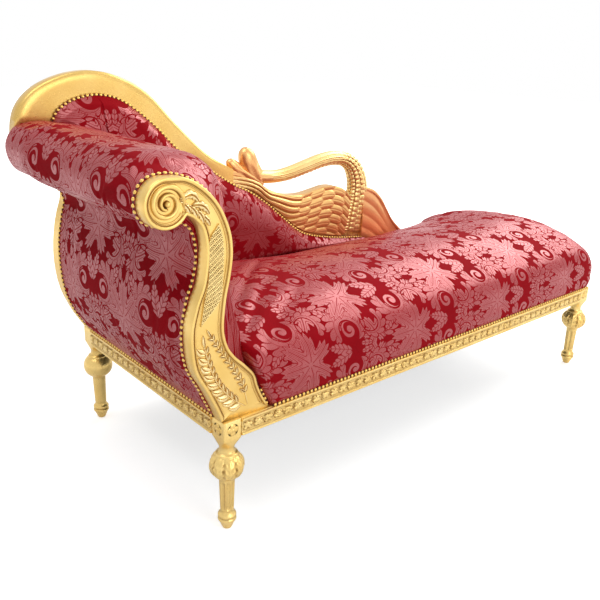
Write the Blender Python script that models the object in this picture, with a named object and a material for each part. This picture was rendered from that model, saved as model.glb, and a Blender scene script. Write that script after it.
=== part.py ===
"""Meridienne: a gilt day bed with a scrolled head arm, a domed crest that runs into a carved swan,
a crowned seat and four turned legs. Metres, +Z up, +X from the head end to the foot end, +Y to the back.
Outlines are drawn from two datums: the axis of the front head leg and the top of the seat rail."""
import math

import bmesh
import bpy
from mathutils import Vector

# Overall frame
LEG_SPAN = 1.600        # head leg axis to foot leg axis
LEG_DEPTH = 0.690       # front leg axis to back leg axis
RAIL_TOP = 0.309        # floor to the top of the seat rail
RAIL_HEIGHT = 0.047
RAIL_THICKNESS = 0.048
BLOCK = 0.051           # side of a leg's square corner block
CLEARANCE = 0.0003      # gap between pieces that touch

# Legs
BULB_RADIUS = 0.043
BULB_HEIGHT = 0.181     # floor to the widest place of the bulb
SHAFT_TOP_RADIUS = 0.0195
SHAFT_FOOT_RADIUS = 0.0165
FOOT_RADIUS = 0.0115
FLUTES = 8
LEAVES = 8

# Frame joints
TENON_LENGTH = 0.016
TENON_ROOT = 0.010      # how far the tenon's solid reaches back into the rail before it is joined
TENON_HEIGHT = 0.026
TENON_THICKNESS = 0.010
TENON_SETBACK = 0.005   # leg axis to the outer cheek of a tenon, kept clear of its neighbour's
BRACE_LEG = 0.085       # length of a corner brace along each rail
BRACE_HEIGHT = 0.030
STRETCHER_WIDTH = 0.040
STRETCHER_HEIGHT = 0.030
UNDERSIDE_SETBACK = 0.006   # rail bottom to the bottom of a brace or stretcher

# Head arm
SCROLL_THICKNESS = 0.034
SCROLL_SETBACK = 0.006  # block face to the scroll's front face
SCROLL_BORDER = 0.008
SCROLL_RELIEF = 0.004
VOLUTE_X = -0.150
VOLUTE_Z = 0.527
VOLUTE_RADIUS = 0.052
VOLUTE_TURNS = 2.25
BOSS_RADIUS = 0.0105
ARM_RAIL_WIDTH = 0.030
ARM_RAIL_HEIGHT = 0.045
ROLL_FORMER_RADIUS = 0.030

# Back
FRAME_THICKNESS = 0.040     # crest, stile and wing, front to back
CREST_BEAD = 0.010          # how far the rolled edge stands proud
CREST_BEAD_FOOT = 0.634     # rail top to where the bead dies away behind the roll
CREST_STATIONS = 40
CURVE_SAMPLES = 160         # points of a curve that is only measured
SWAN_SETBACK = 1.100        # foot leg axis to the joint between the crest and the swan
TACKING_MARGIN = 0.014      # wood that the fabric covers beyond the nail line
TACK_RAIL_FOOT = 0.020      # rail top to the bottom of the inner tacking rail
TACK_RAIL_HEIGHT = 0.040
TACK_RAIL_THICKNESS = 0.025
POST_WIDTH = 0.040
BACK_PAD_DEPTH = 0.055
BACK_PAD_EDGE = 0.004
PAD_END = 0.018             # how much fuller than its nailed edge the pad ends at the breast
BACK_SPACES = 22            # spaces between the pad's stations above the seat

# Swan
FEATHERS = 9
FEATHER_RELIEF = 0.005
TAIL_RIDGES = 5
RIDGE_STEPS = 4             # faces across one ridge

# Upholstery
COVER_THICKNESS = 0.0022
WEBBING_THICKNESS = 0.0015
WEBBING_WIDTH = 0.050
WEBBING_END = 0.004         # leg axis to the tacked end of a strap
WEBBING_INSET = 0.0115      # rail's inner face to the first strap
LONG_WEBS = 4
CROSS_WEBS = 9
HESSIAN_THICKNESS = 0.0008
COVER_EASE = 0.0008         # cover to the stuffing inside it
STUFFING_FOOT = 0.0052      # rail top to the underside of foam and stuffing
PAD_FOOT_DEPTH = 0.0255      # crest's front face to the seat's back edge under the back pad
SEAM_HEIGHT = 0.150         # rail top to the crease where the back pad overhangs the seat
STUFFING_SETBACK = 0.003    # edge of the back's damask to the stuffing behind it
SEAT_MARGIN = 0.0018        # seat to the arm's damask
PAD_MARGIN = 0.0012         # pad to the arm's damask
SEAT_OVERHANG = 0.002       # rail face to the foot of the seat cover, inwards
SEAT_FOOT_BULGE = 0.013     # how far the seat swells beyond its tacked edge at the foot end
DUST_COVER_THICKNESS = 0.0008
DUST_COVER_MARGIN = 0.010

# Faces that several pieces share
HALF_BLOCK = BLOCK / 2
FRONT_FACE = -HALF_BLOCK
BACK_FACE = LEG_DEPTH + HALF_BLOCK
FOOT_FACE = LEG_SPAN + HALF_BLOCK
RAIL_BOTTOM = RAIL_TOP - RAIL_HEIGHT
FRAME_FRONT = BACK_FACE - FRAME_THICKNESS
SEAT_BACK = FRAME_FRONT - PAD_FOOT_DEPTH
ARM_SETTLED = FRAME_FRONT - BACK_PAD_DEPTH - 0.013     # where the arm's section meets the back's
SWAN_X = LEG_SPAN - SWAN_SETBACK
BREAST_EDGE = SWAN_X + 0.622     # where the fabric of the back ends
TAIL_END = SWAN_X + 0.965
TAIL_GAP = (TAIL_END + 0.012, TAIL_END + 0.045)        # where the seat widens behind the tail's tip
BACK_EDGE = -0.094               # where the fabric of the back starts over the roll
ROLL_REACH = 0.212          # head leg axis to the outermost point of the arm's roll
SCROLL_FRONT = FRONT_FACE + SCROLL_SETBACK
SCROLL_REAR = SCROLL_FRONT + SCROLL_THICKNESS
STUFFING_Z = RAIL_TOP + STUFFING_FOOT

# Colour, roughness and metallic value of each material
FINISHES = {
    "gilt": ((0.83, 0.58, 0.20), 0.32, 0.85),
    "beech": ((0.60, 0.42, 0.26), 0.60, 0.0),
    "damask": ((0.42, 0.02, 0.04), 0.55, 0.0),
    "stuffing": ((0.80, 0.74, 0.58), 0.90, 0.0),
    "jute": ((0.52, 0.38, 0.22), 0.90, 0.0),
    "cambric": ((0.03, 0.03, 0.03), 0.90, 0.0),
}


def clear_scene():
    for item in list(bpy.data.objects):
        bpy.data.objects.remove(item, do_unlink=True)


def finish(kind, name):
    colour, roughness, metallic = FINISHES[kind]
    material = bpy.data.materials.new(name + "_" + kind)
    material.use_nodes = True
    shader = material.node_tree.nodes["Principled BSDF"]
    shader.inputs["Base Color"].default_value = (*colour, 1.0)
    shader.inputs["Roughness"].default_value = roughness
    shader.inputs["Metallic"].default_value = metallic
    return material


def place(bm, name, kind, origin, smooth=True, location=(0, 0, 0)):
    bmesh.ops.remove_doubles(bm, verts=bm.verts, dist=1e-6)
    bmesh.ops.recalc_face_normals(bm, faces=bm.faces)
    mesh = bpy.data.meshes.new(name)
    bm.to_mesh(mesh)
    bm.free()
    if smooth:
        mesh.shade_smooth()
        mesh.set_sharp_from_angle(angle=math.radians(35))
    item = bpy.data.objects.new(name, mesh)
    bpy.context.collection.objects.link(item)
    mesh.materials.append(finish(kind, name))
    item.parent = origin
    item.location = location
    return item


def boolean(item, cutter, operation):
    cutter.hide_render = True
    cutter.display_type = "WIRE"
    modifier = item.modifiers.new(operation.title() + "_" + cutter.name, "BOOLEAN")
    modifier.operation = operation
    modifier.solver = "EXACT"
    modifier.object = cutter


def bevel(item, width, segments=1):
    modifier = item.modifiers.new("Bevel", "BEVEL")
    modifier.width = width
    modifier.segments = segments
    modifier.limit_method = "ANGLE"
    modifier.angle_limit = math.radians(50)


def spline(points, steps):
    """Smooth curve through the given points, with its own number of steps between each two."""
    points = [Vector(p) for p in points]
    ends = [points[0] * 2 - points[1]] + points + [points[-1] * 2 - points[-2]]
    fine = []
    for i, count in enumerate(steps):
        a, b, c, d = ends[i:i + 4]
        for k in range(count):
            t = k / count
            fine.append(0.5 * (2 * b + (c - a) * t + (2 * a - 5 * b + 4 * c - d) * t * t
                               + (3 * b - a - 3 * c + d) * t ** 3))
    fine.append(points[-1])
    return fine


def curve_through(points, samples):
    """Even steps along a smooth curve through the given points."""
    fine = spline(points, [12] * (len(points) - 1))
    lengths = [0.0]
    for a, b in zip(fine, fine[1:]):
        lengths.append(lengths[-1] + (b - a).length)
    result = []
    j = 0
    for i in range(samples):
        target = lengths[-1] * i / (samples - 1)
        while j < len(fine) - 2 and lengths[j + 1] < target:
            j += 1
        span = max(lengths[j + 1] - lengths[j], 1e-9)
        result.append(fine[j].lerp(fine[j + 1], min((target - lengths[j]) / span, 1.0)))
    return result


def height_on(curve, x):
    """Height at x of a curve that runs one way along x."""
    if x <= curve[0][0]:
        return curve[0][1]
    for a, b in zip(curve, curve[1:]):
        if x <= b[0]:
            return a[1] + (b[1] - a[1]) * (x - a[0]) / max(b[0] - a[0], 1e-9)
    return curve[-1][1]


def blend(a, b, t):
    return a + (b - a) * t


def ease(x, low, high):
    t = min(max((x - low) / (high - low), 0.0), 1.0)
    return t * t * (3 - 2 * t)


def loft(rings, skin=0):
    """Closed skin over rings of equal count. With skin, the first so many points of each ring are one
    face of a cloth and the rest run back along its other face, and both are split the same way."""
    bm = bmesh.new()
    rows = [[bm.verts.new(p) for p in ring] for ring in rings]
    count = len(rows[0])
    for lower, upper in zip(rows, rows[1:]):
        for i in range(count):
            j = (i + 1) % count
            corners = (lower[i], lower[j], upper[j], upper[i])
            split(bm, corners, skin, i < skin)
    bm.faces.new(rows[0][::-1])
    bm.faces.new(rows[-1])
    return bm


def split(bm, corners, wanted, first):
    """One four-sided face, or two triangles across the chosen diagonal."""
    a, b, c, d = corners
    if not wanted:
        bm.faces.new(corners)
    elif first:
        bm.faces.new((a, b, c))
        bm.faces.new((a, c, d))
    else:
        bm.faces.new((a, b, d))
        bm.faces.new((b, c, d))


def box(low, high):
    bm = bmesh.new()
    bmesh.ops.create_cube(bm, size=1.0)
    for vert in bm.verts:
        for axis in range(3):
            vert.co[axis] = low[axis] if vert.co[axis] < 0 else high[axis]
    return bm


def slab(outline, axis, low, high):
    """Outline in the plane across the given axis, made solid between two values of that axis."""
    def at(point, value):
        a, b = point
        return {0: (value, a, b), 1: (a, value, b), 2: (a, b, value)}[axis]
    return loft([[at(p, low) for p in outline], [at(p, high) for p in outline]])


def to_swan(points):
    """Crest points, drawn out or in so that they end at the swan."""
    stretch = SWAN_X / points[-1][0]
    return [(x * stretch if x > 0 else x, z) for x, z in points]


def rise(points):
    """Outline heights are measured from the rail top."""
    return [(x, z + RAIL_TOP) for x, z in points]


# Legs

def leg_profile():
    """Height, radius and kind of each turned ring, floor upwards."""
    bulb = BULB_HEIGHT
    rings = [(0.000, FOOT_RADIUS, "plain"),
             (0.004, FOOT_RADIUS + 0.0012, "plain"),
             (0.020, 0.0192, "plain"),
             (0.0235, 0.0215, "plain"),
             (0.0280, 0.0235, "plain"),
             (0.0325, 0.0213, "plain"),
             (0.0345, 0.0213, "plain"),
             (0.0390, 0.0232, "plain"),
             (0.0435, 0.0213, "plain"),
             (0.0470, SHAFT_FOOT_RADIUS + 0.001, "plain"),
             (0.0540, SHAFT_FOOT_RADIUS, "plain"),
             (0.0600, SHAFT_FOOT_RADIUS + 0.0006, "flute"),
             (0.1380, SHAFT_TOP_RADIUS, "flute"),
             (0.1440, SHAFT_TOP_RADIUS + 0.0003, "plain"),
             (0.1480, SHAFT_TOP_RADIUS + 0.0020, "plain"),
             (0.1520, SHAFT_TOP_RADIUS + 0.0010, "plain")]
    for angle in (-52, -30, -8, 12, 32, 50):
        turn = math.radians(angle)
        radius = BULB_RADIUS * math.cos(turn) ** 0.8
        rings.append((bulb + 0.037 * math.sin(turn), radius, "leaf"))
    rings += [(bulb + 0.0330, 0.0272, "plain"),
              (bulb + 0.0355, 0.0262, "plain"),
              (bulb + 0.0370, 0.0215, "plain"),
              (bulb + 0.0410, 0.0190, "plain"),
              (bulb + 0.0490, 0.0184, "plain"),
              (bulb + 0.0560, 0.0200, "plain")]
    return rings


def round_ring(radius, z, sides, kind, carved):
    ring = []
    for i in range(sides):
        angle = 2 * math.pi * (i + 0.5) / sides
        r = radius
        if carved and kind == "flute":
            r = radius - 0.0022 * (0.5 - 0.5 * math.cos(FLUTES * angle)) ** 2
        if carved and kind == "leaf":
            r = radius * (1.0 - 0.075 * abs(math.cos(LEAVES * angle / 2)) ** 3)
        ring.append((r * math.cos(angle), r * math.sin(angle), z))
    return ring


def square_ring(half, z, sides):
    ring = []
    for i in range(sides):
        angle = 2 * math.pi * (i + 0.5) / sides
        c, s = math.cos(angle), math.sin(angle)
        reach = half / max(abs(c), abs(s))
        if i % (sides // 4) in (sides // 8 - 1, sides // 8):
            c = math.copysign(1, c)
            s = math.copysign(1, s)
            reach = half
        ring.append((c * reach, s * reach, z))
    return ring


def mortise(leg, name, origin, along_x, sign_x, sign_y):
    """Pocket for one rail's tenon, a clearance larger all round."""
    middle = RAIL_TOP - RAIL_HEIGHT / 2
    gap = CLEARANCE
    inner = HALF_BLOCK - TENON_LENGTH - gap
    outer = HALF_BLOCK + 0.01
    far = -TENON_SETBACK - gap
    near = far + TENON_THICKNESS + 2 * gap
    x = (inner, outer) if along_x else (far, near)
    y = (far, near) if along_x else (inner, outer)
    low = [min(sign_x * x[0], sign_x * x[1]), min(sign_y * y[0], sign_y * y[1]),
           middle - TENON_HEIGHT / 2 - gap]
    high = [max(sign_x * x[0], sign_x * x[1]), max(sign_y * y[0], sign_y * y[1]),
            middle + TENON_HEIGHT / 2 + gap]
    cutter = place(box(low, high), name, "beech", origin, smooth=False, location=leg.location)
    boolean(leg, cutter, "DIFFERENCE")


def leg(name, origin, x, y, carved):
    sides = 24 if carved else 16
    rings = [round_ring(r, z, sides, kind, carved) for z, r, kind in leg_profile()]
    rings.append(square_ring(HALF_BLOCK, RAIL_BOTTOM - 0.004, sides))
    rings.append(square_ring(HALF_BLOCK, RAIL_TOP, sides))
    item = place(loft(rings), name, "gilt", origin, location=(x, y, 0))
    sign_x = 1 if x < LEG_SPAN / 2 else -1
    sign_y = 1 if y < LEG_DEPTH / 2 else -1
    mortise(item, name + "_long_mortise", origin, True, sign_x, sign_y)
    mortise(item, name + "_cross_mortise", origin, False, sign_x, sign_y)
    return item


def legs(origin):
    leg("leg_front_head", origin, 0.0, 0.0, True)
    leg("leg_front_foot", origin, LEG_SPAN, 0.0, True)
    leg("leg_back_head", origin, 0.0, LEG_DEPTH, False)
    leg("leg_back_foot", origin, LEG_SPAN, LEG_DEPTH, False)


# Seat rails

def rail_profile():
    """Section of a rail, measured inwards from its outer face and up from the floor."""
    top, foot = RAIL_TOP, RAIL_BOTTOM
    return [(0.002, top), (0.0, top - 0.002), (0.0, top - 0.007), (0.002, top - 0.009),
            (0.0035, top - 0.011), (0.0035, foot + 0.008), (0.001, foot + 0.006),
            (0.0, foot + 0.004), (0.001, foot), (RAIL_THICKNESS, foot), (RAIL_THICKNESS, top)]


def rail(name, origin, along_x, face, inward):
    """A moulded rail between two corner blocks, with a tenon at each end."""
    span = LEG_SPAN if along_x else LEG_DEPTH
    low = HALF_BLOCK + CLEARANCE
    high = span - HALF_BLOCK - CLEARANCE
    outline = [(face + inward * depth, z) for depth, z in rail_profile()]
    item = place(slab(outline, 0 if along_x else 1, low, high), name, "gilt", origin, smooth=False)
    middle = RAIL_TOP - RAIL_HEIGHT / 2
    cheek = face + inward * (HALF_BLOCK - TENON_SETBACK)
    cheeks = sorted((cheek, cheek + inward * TENON_THICKNESS))
    tenons = (("head", low + TENON_ROOT, low - TENON_LENGTH),
              ("foot", high - TENON_ROOT, high + TENON_LENGTH))
    for end, root, tip in tenons:
        ends = sorted((root, tip))
        a = [ends[0], cheeks[0], middle - TENON_HEIGHT / 2]
        b = [ends[1], cheeks[1], middle + TENON_HEIGHT / 2]
        if not along_x:
            a[0], a[1] = a[1], a[0]
            b[0], b[1] = b[1], b[0]
        tenon = place(box(a, b), name + "_tenon_" + end, "gilt", origin, smooth=False)
        boolean(item, tenon, "UNION")
    return item


def rails(origin):
    rail("rail_front", origin, True, FRONT_FACE, 1)
    rail("rail_back", origin, True, BACK_FACE, -1)
    rail("rail_head", origin, False, FRONT_FACE, 1)
    rail("rail_foot", origin, False, FOOT_FACE, -1)


def braces(origin):
    """Glued corner blocks, notched round the legs."""
    inner = -HALF_BLOCK + RAIL_THICKNESS + CLEARANCE
    notch = HALF_BLOCK + CLEARANCE
    reach = inner + BRACE_LEG
    corner = [(notch, inner), (reach, inner), (inner, reach), (inner, notch), (notch, notch)]
    low = RAIL_BOTTOM + UNDERSIDE_SETBACK
    for name, x, y, sx, sy in (("brace_front_head", 0, 0, 1, 1),
                               ("brace_front_foot", LEG_SPAN, 0, -1, 1),
                               ("brace_back_head", 0, LEG_DEPTH, 1, -1),
                               ("brace_back_foot", LEG_SPAN, LEG_DEPTH, -1, -1)):
        outline = [(x + sx * a, y + sy * b) for a, b in corner]
        place(slab(outline, 2, low, low + BRACE_HEIGHT), name, "beech", origin, smooth=False)


def stretchers(origin):
    low_y = FRONT_FACE + RAIL_THICKNESS + CLEARANCE
    high_y = BACK_FACE - RAIL_THICKNESS - CLEARANCE
    low_z = RAIL_BOTTOM + UNDERSIDE_SETBACK
    for name, share in (("stretcher_head", 1 / 3), ("stretcher_foot", 2 / 3)):
        x = LEG_SPAN * share
        place(box((x - STRETCHER_WIDTH / 2, low_y, low_z),
                  (x + STRETCHER_WIDTH / 2, high_y, low_z + STRETCHER_HEIGHT)),
              name, "beech", origin, smooth=False)


# Head arm

SCROLL_RIGHT = [(0.112, 0.0), (0.091, 0.037), (0.078, 0.067), (0.067, 0.100), (0.041, 0.130),
                (0.011, 0.160), (-0.009, 0.192), (-0.018, 0.235), (-0.012, 0.300), (0.000, 0.355),
                (0.006, 0.405), (-0.001, 0.455), (-0.026, 0.510), (-0.062, 0.549), (-0.104, 0.574),
                (VOLUTE_X, VOLUTE_Z + VOLUTE_RADIUS)]
SCROLL_LEFT = [(-0.106, 0.499), (-0.087, 0.488), (-0.069, 0.463), (-0.061, 0.414), (-0.070, 0.348),
               (-0.090, 0.298), (-0.104, 0.235), (-0.096, 0.152), (-0.064, 0.088), (-0.037, 0.030),
               (-HALF_BLOCK, 0.0)]
CROTCH_ANGLE = math.radians(-33)


def scroll_outline():
    right = [tuple(p) for p in curve_through(SCROLL_RIGHT, 30)]
    arc = []
    for i in range(1, 18):
        angle = blend(math.pi / 2, math.tau + CROTCH_ANGLE, i / 18)
        arc.append((VOLUTE_X + VOLUTE_RADIUS * math.cos(angle), VOLUTE_Z + VOLUTE_RADIUS * math.sin(angle)))
    left = [tuple(p) for p in curve_through(SCROLL_LEFT, 22)]
    return rise(right + arc + left)


def spiral_bead():
    """Half-round bead that winds from inside the border to the boss."""
    rings = []
    steps = 44
    start = VOLUTE_RADIUS - SCROLL_BORDER - 0.006
    end = BOSS_RADIUS + 0.003
    bead = ((-1, -0.003), (-1, 0.0), (-0.7, 0.7), (0, 1.0), (0.7, 0.7), (1, 0.0), (1, -0.003))
    for i in range(steps + 1):
        t = i / steps
        angle = math.pi * 0.30 + math.tau * VOLUTE_TURNS * t
        radius = blend(start, end, t)
        half = blend(0.0036, 0.0022, t)
        high = blend(0.0065, 0.0050, t)
        ring = []
        for side, depth in bead:
            r = radius + side * half
            y = SCROLL_FRONT + SCROLL_RELIEF - (high * depth if depth > 0 else depth)
            ring.append((VOLUTE_X + r * math.cos(angle), y, RAIL_TOP + VOLUTE_Z + r * math.sin(angle)))
        rings.append(ring)
    return loft(rings)


def volute_boss():
    bm = bmesh.new()
    bmesh.ops.create_uvsphere(bm, u_segments=14, v_segments=8, radius=BOSS_RADIUS)
    for vert in bm.verts:
        vert.co.y *= 0.9
    return bm


def arm_scroll_front(origin):
    field = SCROLL_FRONT + SCROLL_RELIEF
    outline = [(x, z + CLEARANCE) for x, z in scroll_outline()]
    bm = slab(outline, 1, SCROLL_FRONT, SCROLL_REAR)
    bm.faces.ensure_lookup_table()
    top = bm.faces[-2]
    for vert in top.verts:
        vert.co.y = SCROLL_FRONT
    bmesh.ops.inset_region(bm, faces=[top], thickness=SCROLL_BORDER, use_even_offset=True)
    bmesh.ops.inset_region(bm, faces=[top], thickness=0.0015, use_even_offset=True)
    for vert in top.verts:
        vert.co.y = field
    item = place(bm, "arm_scroll_front", "gilt", origin)
    bevel(item, 0.002)
    spiral = place(spiral_bead(), "volute_spiral", "gilt", origin)
    boss = place(volute_boss(), "volute_boss", "gilt", origin,
                 location=(VOLUTE_X, field, RAIL_TOP + VOLUTE_Z))
    boolean(item, spiral, "UNION")
    boolean(item, boss, "UNION")


STILE_LEFT = [(-HALF_BLOCK, 0.0), (-0.060, 0.060), (-0.088, 0.130), (-0.099, 0.200), (-0.098, 0.270),
              (-0.085, 0.345), (-0.067, 0.400), (-0.066, 0.440), (-0.095, 0.470), (-0.140, 0.4997)]
STILE_RIGHT = [(-0.085, 0.4997), (-0.030, 0.460), (-0.018, 0.410), (-0.028, 0.345), (-0.040, 0.270),
               (-0.040, 0.200), (-0.025, 0.140), (0.010, 0.095), (0.035, 0.065), (0.040, 0.0)]


def stile_back_head(origin):
    """Plain S-shaped stile behind the arm; the crest stands on its top."""
    left = [tuple(p) for p in curve_through(STILE_LEFT, 20)]
    right = [tuple(p) for p in curve_through(STILE_RIGHT, 20)]
    outline = [(x, z + RAIL_TOP + CLEARANCE) for x, z in left + right]
    item = place(slab(outline, 1, FRAME_FRONT, BACK_FACE), "stile_back_head", "gilt", origin)
    bevel(item, 0.003)


ARM_BAR = (-0.055, 0.215)
ROLL_FORMER = (-0.135, 0.535)


def arm_rails(origin):
    """Lower cross bar and the round former that carries the roll."""
    low_y = SCROLL_REAR + COVER_THICKNESS + 2 * CLEARANCE
    high_y = FRAME_FRONT - CLEARANCE
    x, z = ARM_BAR
    place(box((x - ARM_RAIL_WIDTH / 2, low_y, RAIL_TOP + z - ARM_RAIL_HEIGHT / 2),
              (x + ARM_RAIL_WIDTH / 2, high_y, RAIL_TOP + z + ARM_RAIL_HEIGHT / 2)),
          "arm_rail_lower", "beech", origin, smooth=False)
    x, z = ROLL_FORMER
    place(tunnel(x, z, ROLL_FORMER_RADIUS, low_y, high_y), "arm_roll_former", "beech", origin)


def tunnel(x, z, radius, low_y, high_y, sides=16):
    rings = []
    for y in (low_y, high_y):
        ring = []
        for i in range(sides):
            angle = math.tau * i / sides
            ring.append((x + radius * math.cos(angle), y, RAIL_TOP + z + radius * math.sin(angle)))
        rings.append(ring)
    return loft(rings)


# Section of the arm as it stands behind the scroll, at its fullest and against the back.
ARM_FOOT = [(0.047, 0.200), (0.050, 0.165), (0.058, 0.130), (0.071, 0.098), (0.081, 0.067),
            (0.094, 0.037), (0.1145, STUFFING_FOOT)]
ARM_FRONT = [(-0.0235, CLEARANCE), (-0.040, 0.033), (-0.064, 0.085), (-0.096, 0.150), (-0.105, 0.225),
             (-0.092, 0.297), (-0.072, 0.350), (-0.063, 0.410), (-0.076, 0.460), (-0.110, 0.480),
             (-0.152, 0.474), (-0.190, 0.492), (-0.203, 0.530), (-0.184, 0.568), (-0.144, 0.580),
             (-0.098, 0.572), (-0.050, 0.545), (-0.012, 0.500), (0.008, 0.450), (0.014, 0.390),
             (0.018, 0.320), (0.030, 0.255)]
ARM_FULL = [(-0.0235, CLEARANCE), (-0.045, 0.035), (-0.068, 0.080), (-0.092, 0.140), (-0.102, 0.215),
            (-0.095, 0.300), (-0.078, 0.365), (-0.070, 0.415), (-0.094, 0.455), (-0.138, 0.471),
            (-0.180, 0.487), (-0.206, 0.518), (-ROLL_REACH, 0.552), (-0.192, 0.588), (-0.140, 0.604),
            (-0.072, 0.603), (-0.006, 0.590), (0.038, 0.560), (0.056, 0.508), (0.050, 0.430),
            (0.040, 0.340), (0.042, 0.262)]
ARM_BACK = [(-0.0235, CLEARANCE), (-0.045, 0.033), (-0.068, 0.075), (-0.088, 0.130), (-0.097, 0.200),
            (-0.096, 0.285), (-0.082, 0.360), (-0.073, 0.405), (-0.100, 0.450), (-0.145, 0.471),
            (-0.190, 0.492), (-0.210, 0.526), (-0.211, 0.566), (-0.184, 0.603), (-0.130, 0.615),
            (-0.063, 0.606), (-0.012, 0.590), (0.030, 0.563), (0.046, 0.510), (0.046, 0.430),
            (0.046, 0.340), (0.046, 0.262)]


def arm_points(y):
    """Control points of the arm's section at one depth."""
    first = SCROLL_REAR + CLEARANCE
    swell = ease(y, first, first + 0.11) ** 0.6
    settle = ease(y, LEG_DEPTH * 0.60, ARM_SETTLED)
    points = []
    for a, b, c in zip(ARM_FRONT, ARM_FULL, ARM_BACK):
        x = blend(blend(a[0], b[0], swell), c[0], settle)
        z = blend(blend(a[1], b[1], swell), c[1], settle)
        points.append((x, z))
    return points + ARM_FOOT


def arm_stations():
    first = SCROLL_REAR + CLEARANCE
    last = FRAME_FRONT - CLEARANCE
    return [first, first + 0.015, first + 0.045, first + 0.10, LEG_DEPTH * 0.32, LEG_DEPTH * 0.48,
            LEG_DEPTH * 0.64, LEG_DEPTH * 0.78, ARM_SETTLED, last]


def shrink(section, amount):
    """Section moved towards its own inside."""
    result = []
    count = len(section)
    for i in range(count):
        a = section[max(i - 1, 0)]
        b = section[min(i + 1, count - 1)]
        along = (b - a).normalized()
        normal = Vector((along[1], -along[0]))
        result.append(section[i] + normal * amount)
    return result


def arm_section(y, inset):
    """Section of the arm, with closer points round the roll."""
    points = arm_points(y)
    steps = [2 if 7 <= i <= 18 else 1 for i in range(len(points) - 1)]
    section = spline(points, steps)
    return shrink(section, inset) if inset else section


def shell(bm, rings, far_end):
    """Open skin over rings, closed by a ladder of faces at the first ring and, if asked, the last."""
    rows = [[bm.verts.new(p) for p in ring] for ring in rings]
    count = len(rows[0])
    for near, far in zip(rows, rows[1:]):
        for i in range(count - 1):
            split(bm, (near[i], near[i + 1], far[i + 1], far[i]), True, True)
    for row in (rows[0], rows[-1]) if far_end else (rows[0],):
        for i in range(count // 2):
            j = count - 1 - i
            if j - i > 2:
                split(bm, (row[i], row[i + 1], row[j - 1], row[j]), True, True)
            elif j - i == 2:
                bm.faces.new((row[i], row[i + 1], row[j]))
    return rows


def edge_strip(bm, line, inner_line):
    for a, b, c, d in zip(line, line[1:], inner_line[1:], inner_line):
        bm.faces.new((a, b, c, d))


def arm_cover(origin):
    """Damask of the arm: two skins that close behind the scroll, joined along the tacked edges."""
    bm = bmesh.new()
    skins = []
    for inset in (0.0, COVER_THICKNESS):
        rings = []
        for k, y in enumerate(arm_stations()):
            section = arm_section(y, inset)
            section[0][1] = CLEARANCE
            section[-1][1] = STUFFING_FOOT
            rings.append([(p[0], y + (inset if k == 0 else 0), p[1] + RAIL_TOP) for p in section])
        skins.append(shell(bm, rings, False))
    out, into = skins
    edge_strip(bm, [row[0] for row in out], [row[0] for row in into])
    edge_strip(bm, [row[-1] for row in out], [row[-1] for row in into])
    edge_strip(bm, out[-1], into[-1])
    edge_strip(bm, [out[0][0], out[0][-1]], [into[0][0], into[0][-1]])
    place(bm, "arm_cover", "damask", origin)


def arm_stuffing(origin):
    inset = COVER_THICKNESS + COVER_EASE
    rings = []
    for k, y in enumerate(arm_stations()):
        section = arm_section(y, inset)
        rings.append([(p[0], y + (inset if k == 0 else 0), max(p[1], STUFFING_FOOT) + RAIL_TOP)
                      for p in section])
    item = place(loft(rings, len(section)), "arm_stuffing", "stuffing", origin)
    low_y, high_y = -1, LEG_DEPTH + 1
    x, z = ARM_BAR
    half_x = ARM_RAIL_WIDTH / 2 + CLEARANCE
    half_z = ARM_RAIL_HEIGHT / 2 + CLEARANCE
    bar = place(box((x - half_x, low_y, RAIL_TOP + z - half_z), (x + half_x, high_y, RAIL_TOP + z + half_z)),
                "arm_bar_tunnel", "beech", origin, smooth=False)
    boolean(item, bar, "DIFFERENCE")
    x, z = ROLL_FORMER
    former = place(tunnel(x, z, ROLL_FORMER_RADIUS + CLEARANCE * 2, low_y, high_y),
                   "roll_former_tunnel", "beech", origin)
    boolean(item, former, "DIFFERENCE")


# Back frame

CREST_OUTER = [(-0.140, 0.500), (-0.176, 0.530), (-0.188, 0.580), (-0.170, 0.648), (-0.115, 0.700),
               (-0.022, 0.733), (0.076, 0.733), (0.190, 0.684), (0.283, 0.594), (0.385, 0.500),
               (0.472, 0.447), (0.500, 0.434)]
CREST_INNER = [(-0.085, 0.500), (-0.080, 0.550), (-0.073, 0.600), (-0.050, 0.635), (-0.010, 0.656),
               (0.040, 0.663), (0.095, 0.652), (0.150, 0.616), (0.205, 0.570), (0.275, 0.505),
               (0.360, 0.440), (0.500, 0.368)]


def crest_rail(origin):
    """Sweep of a flat band with a rolled bead along its outer edge."""
    outer = curve_through(to_swan(CREST_OUTER), CREST_STATIONS)
    inner = curve_through(to_swan(CREST_INNER), CREST_STATIONS)
    rings = []
    for a, b in zip(inner, outer):
        across = (b - a).length
        bead = CREST_BEAD * ease(b[1], CREST_BEAD_FOOT, CREST_BEAD_FOOT + 0.03) if b[0] < 0 else CREST_BEAD
        ring = []
        for share, proud in ((0.0, 0.0), (0.62, 0.0), (0.70, 0.35), (0.79, 0.85), (0.88, 1.0), (0.96, 0.7),
                             (1.0, 0.0)):
            point = a.lerp(b, share)
            ring.append((point[0], FRAME_FRONT - bead * proud, point[1] + RAIL_TOP + CLEARANCE))
        for share, depth in ((1.0, 0.70), (0.97, 0.90), (0.90, 1.0), (0.0, 1.0)):
            point = a.lerp(b, min(share, 1 - 0.001 / across) if share > 0 else 0.0)
            ring.append((point[0], FRAME_FRONT + FRAME_THICKNESS * depth, point[1] + RAIL_TOP + CLEARANCE))
        rings.append(ring)
    place(loft(rings), "crest_rail", "gilt", origin)


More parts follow.
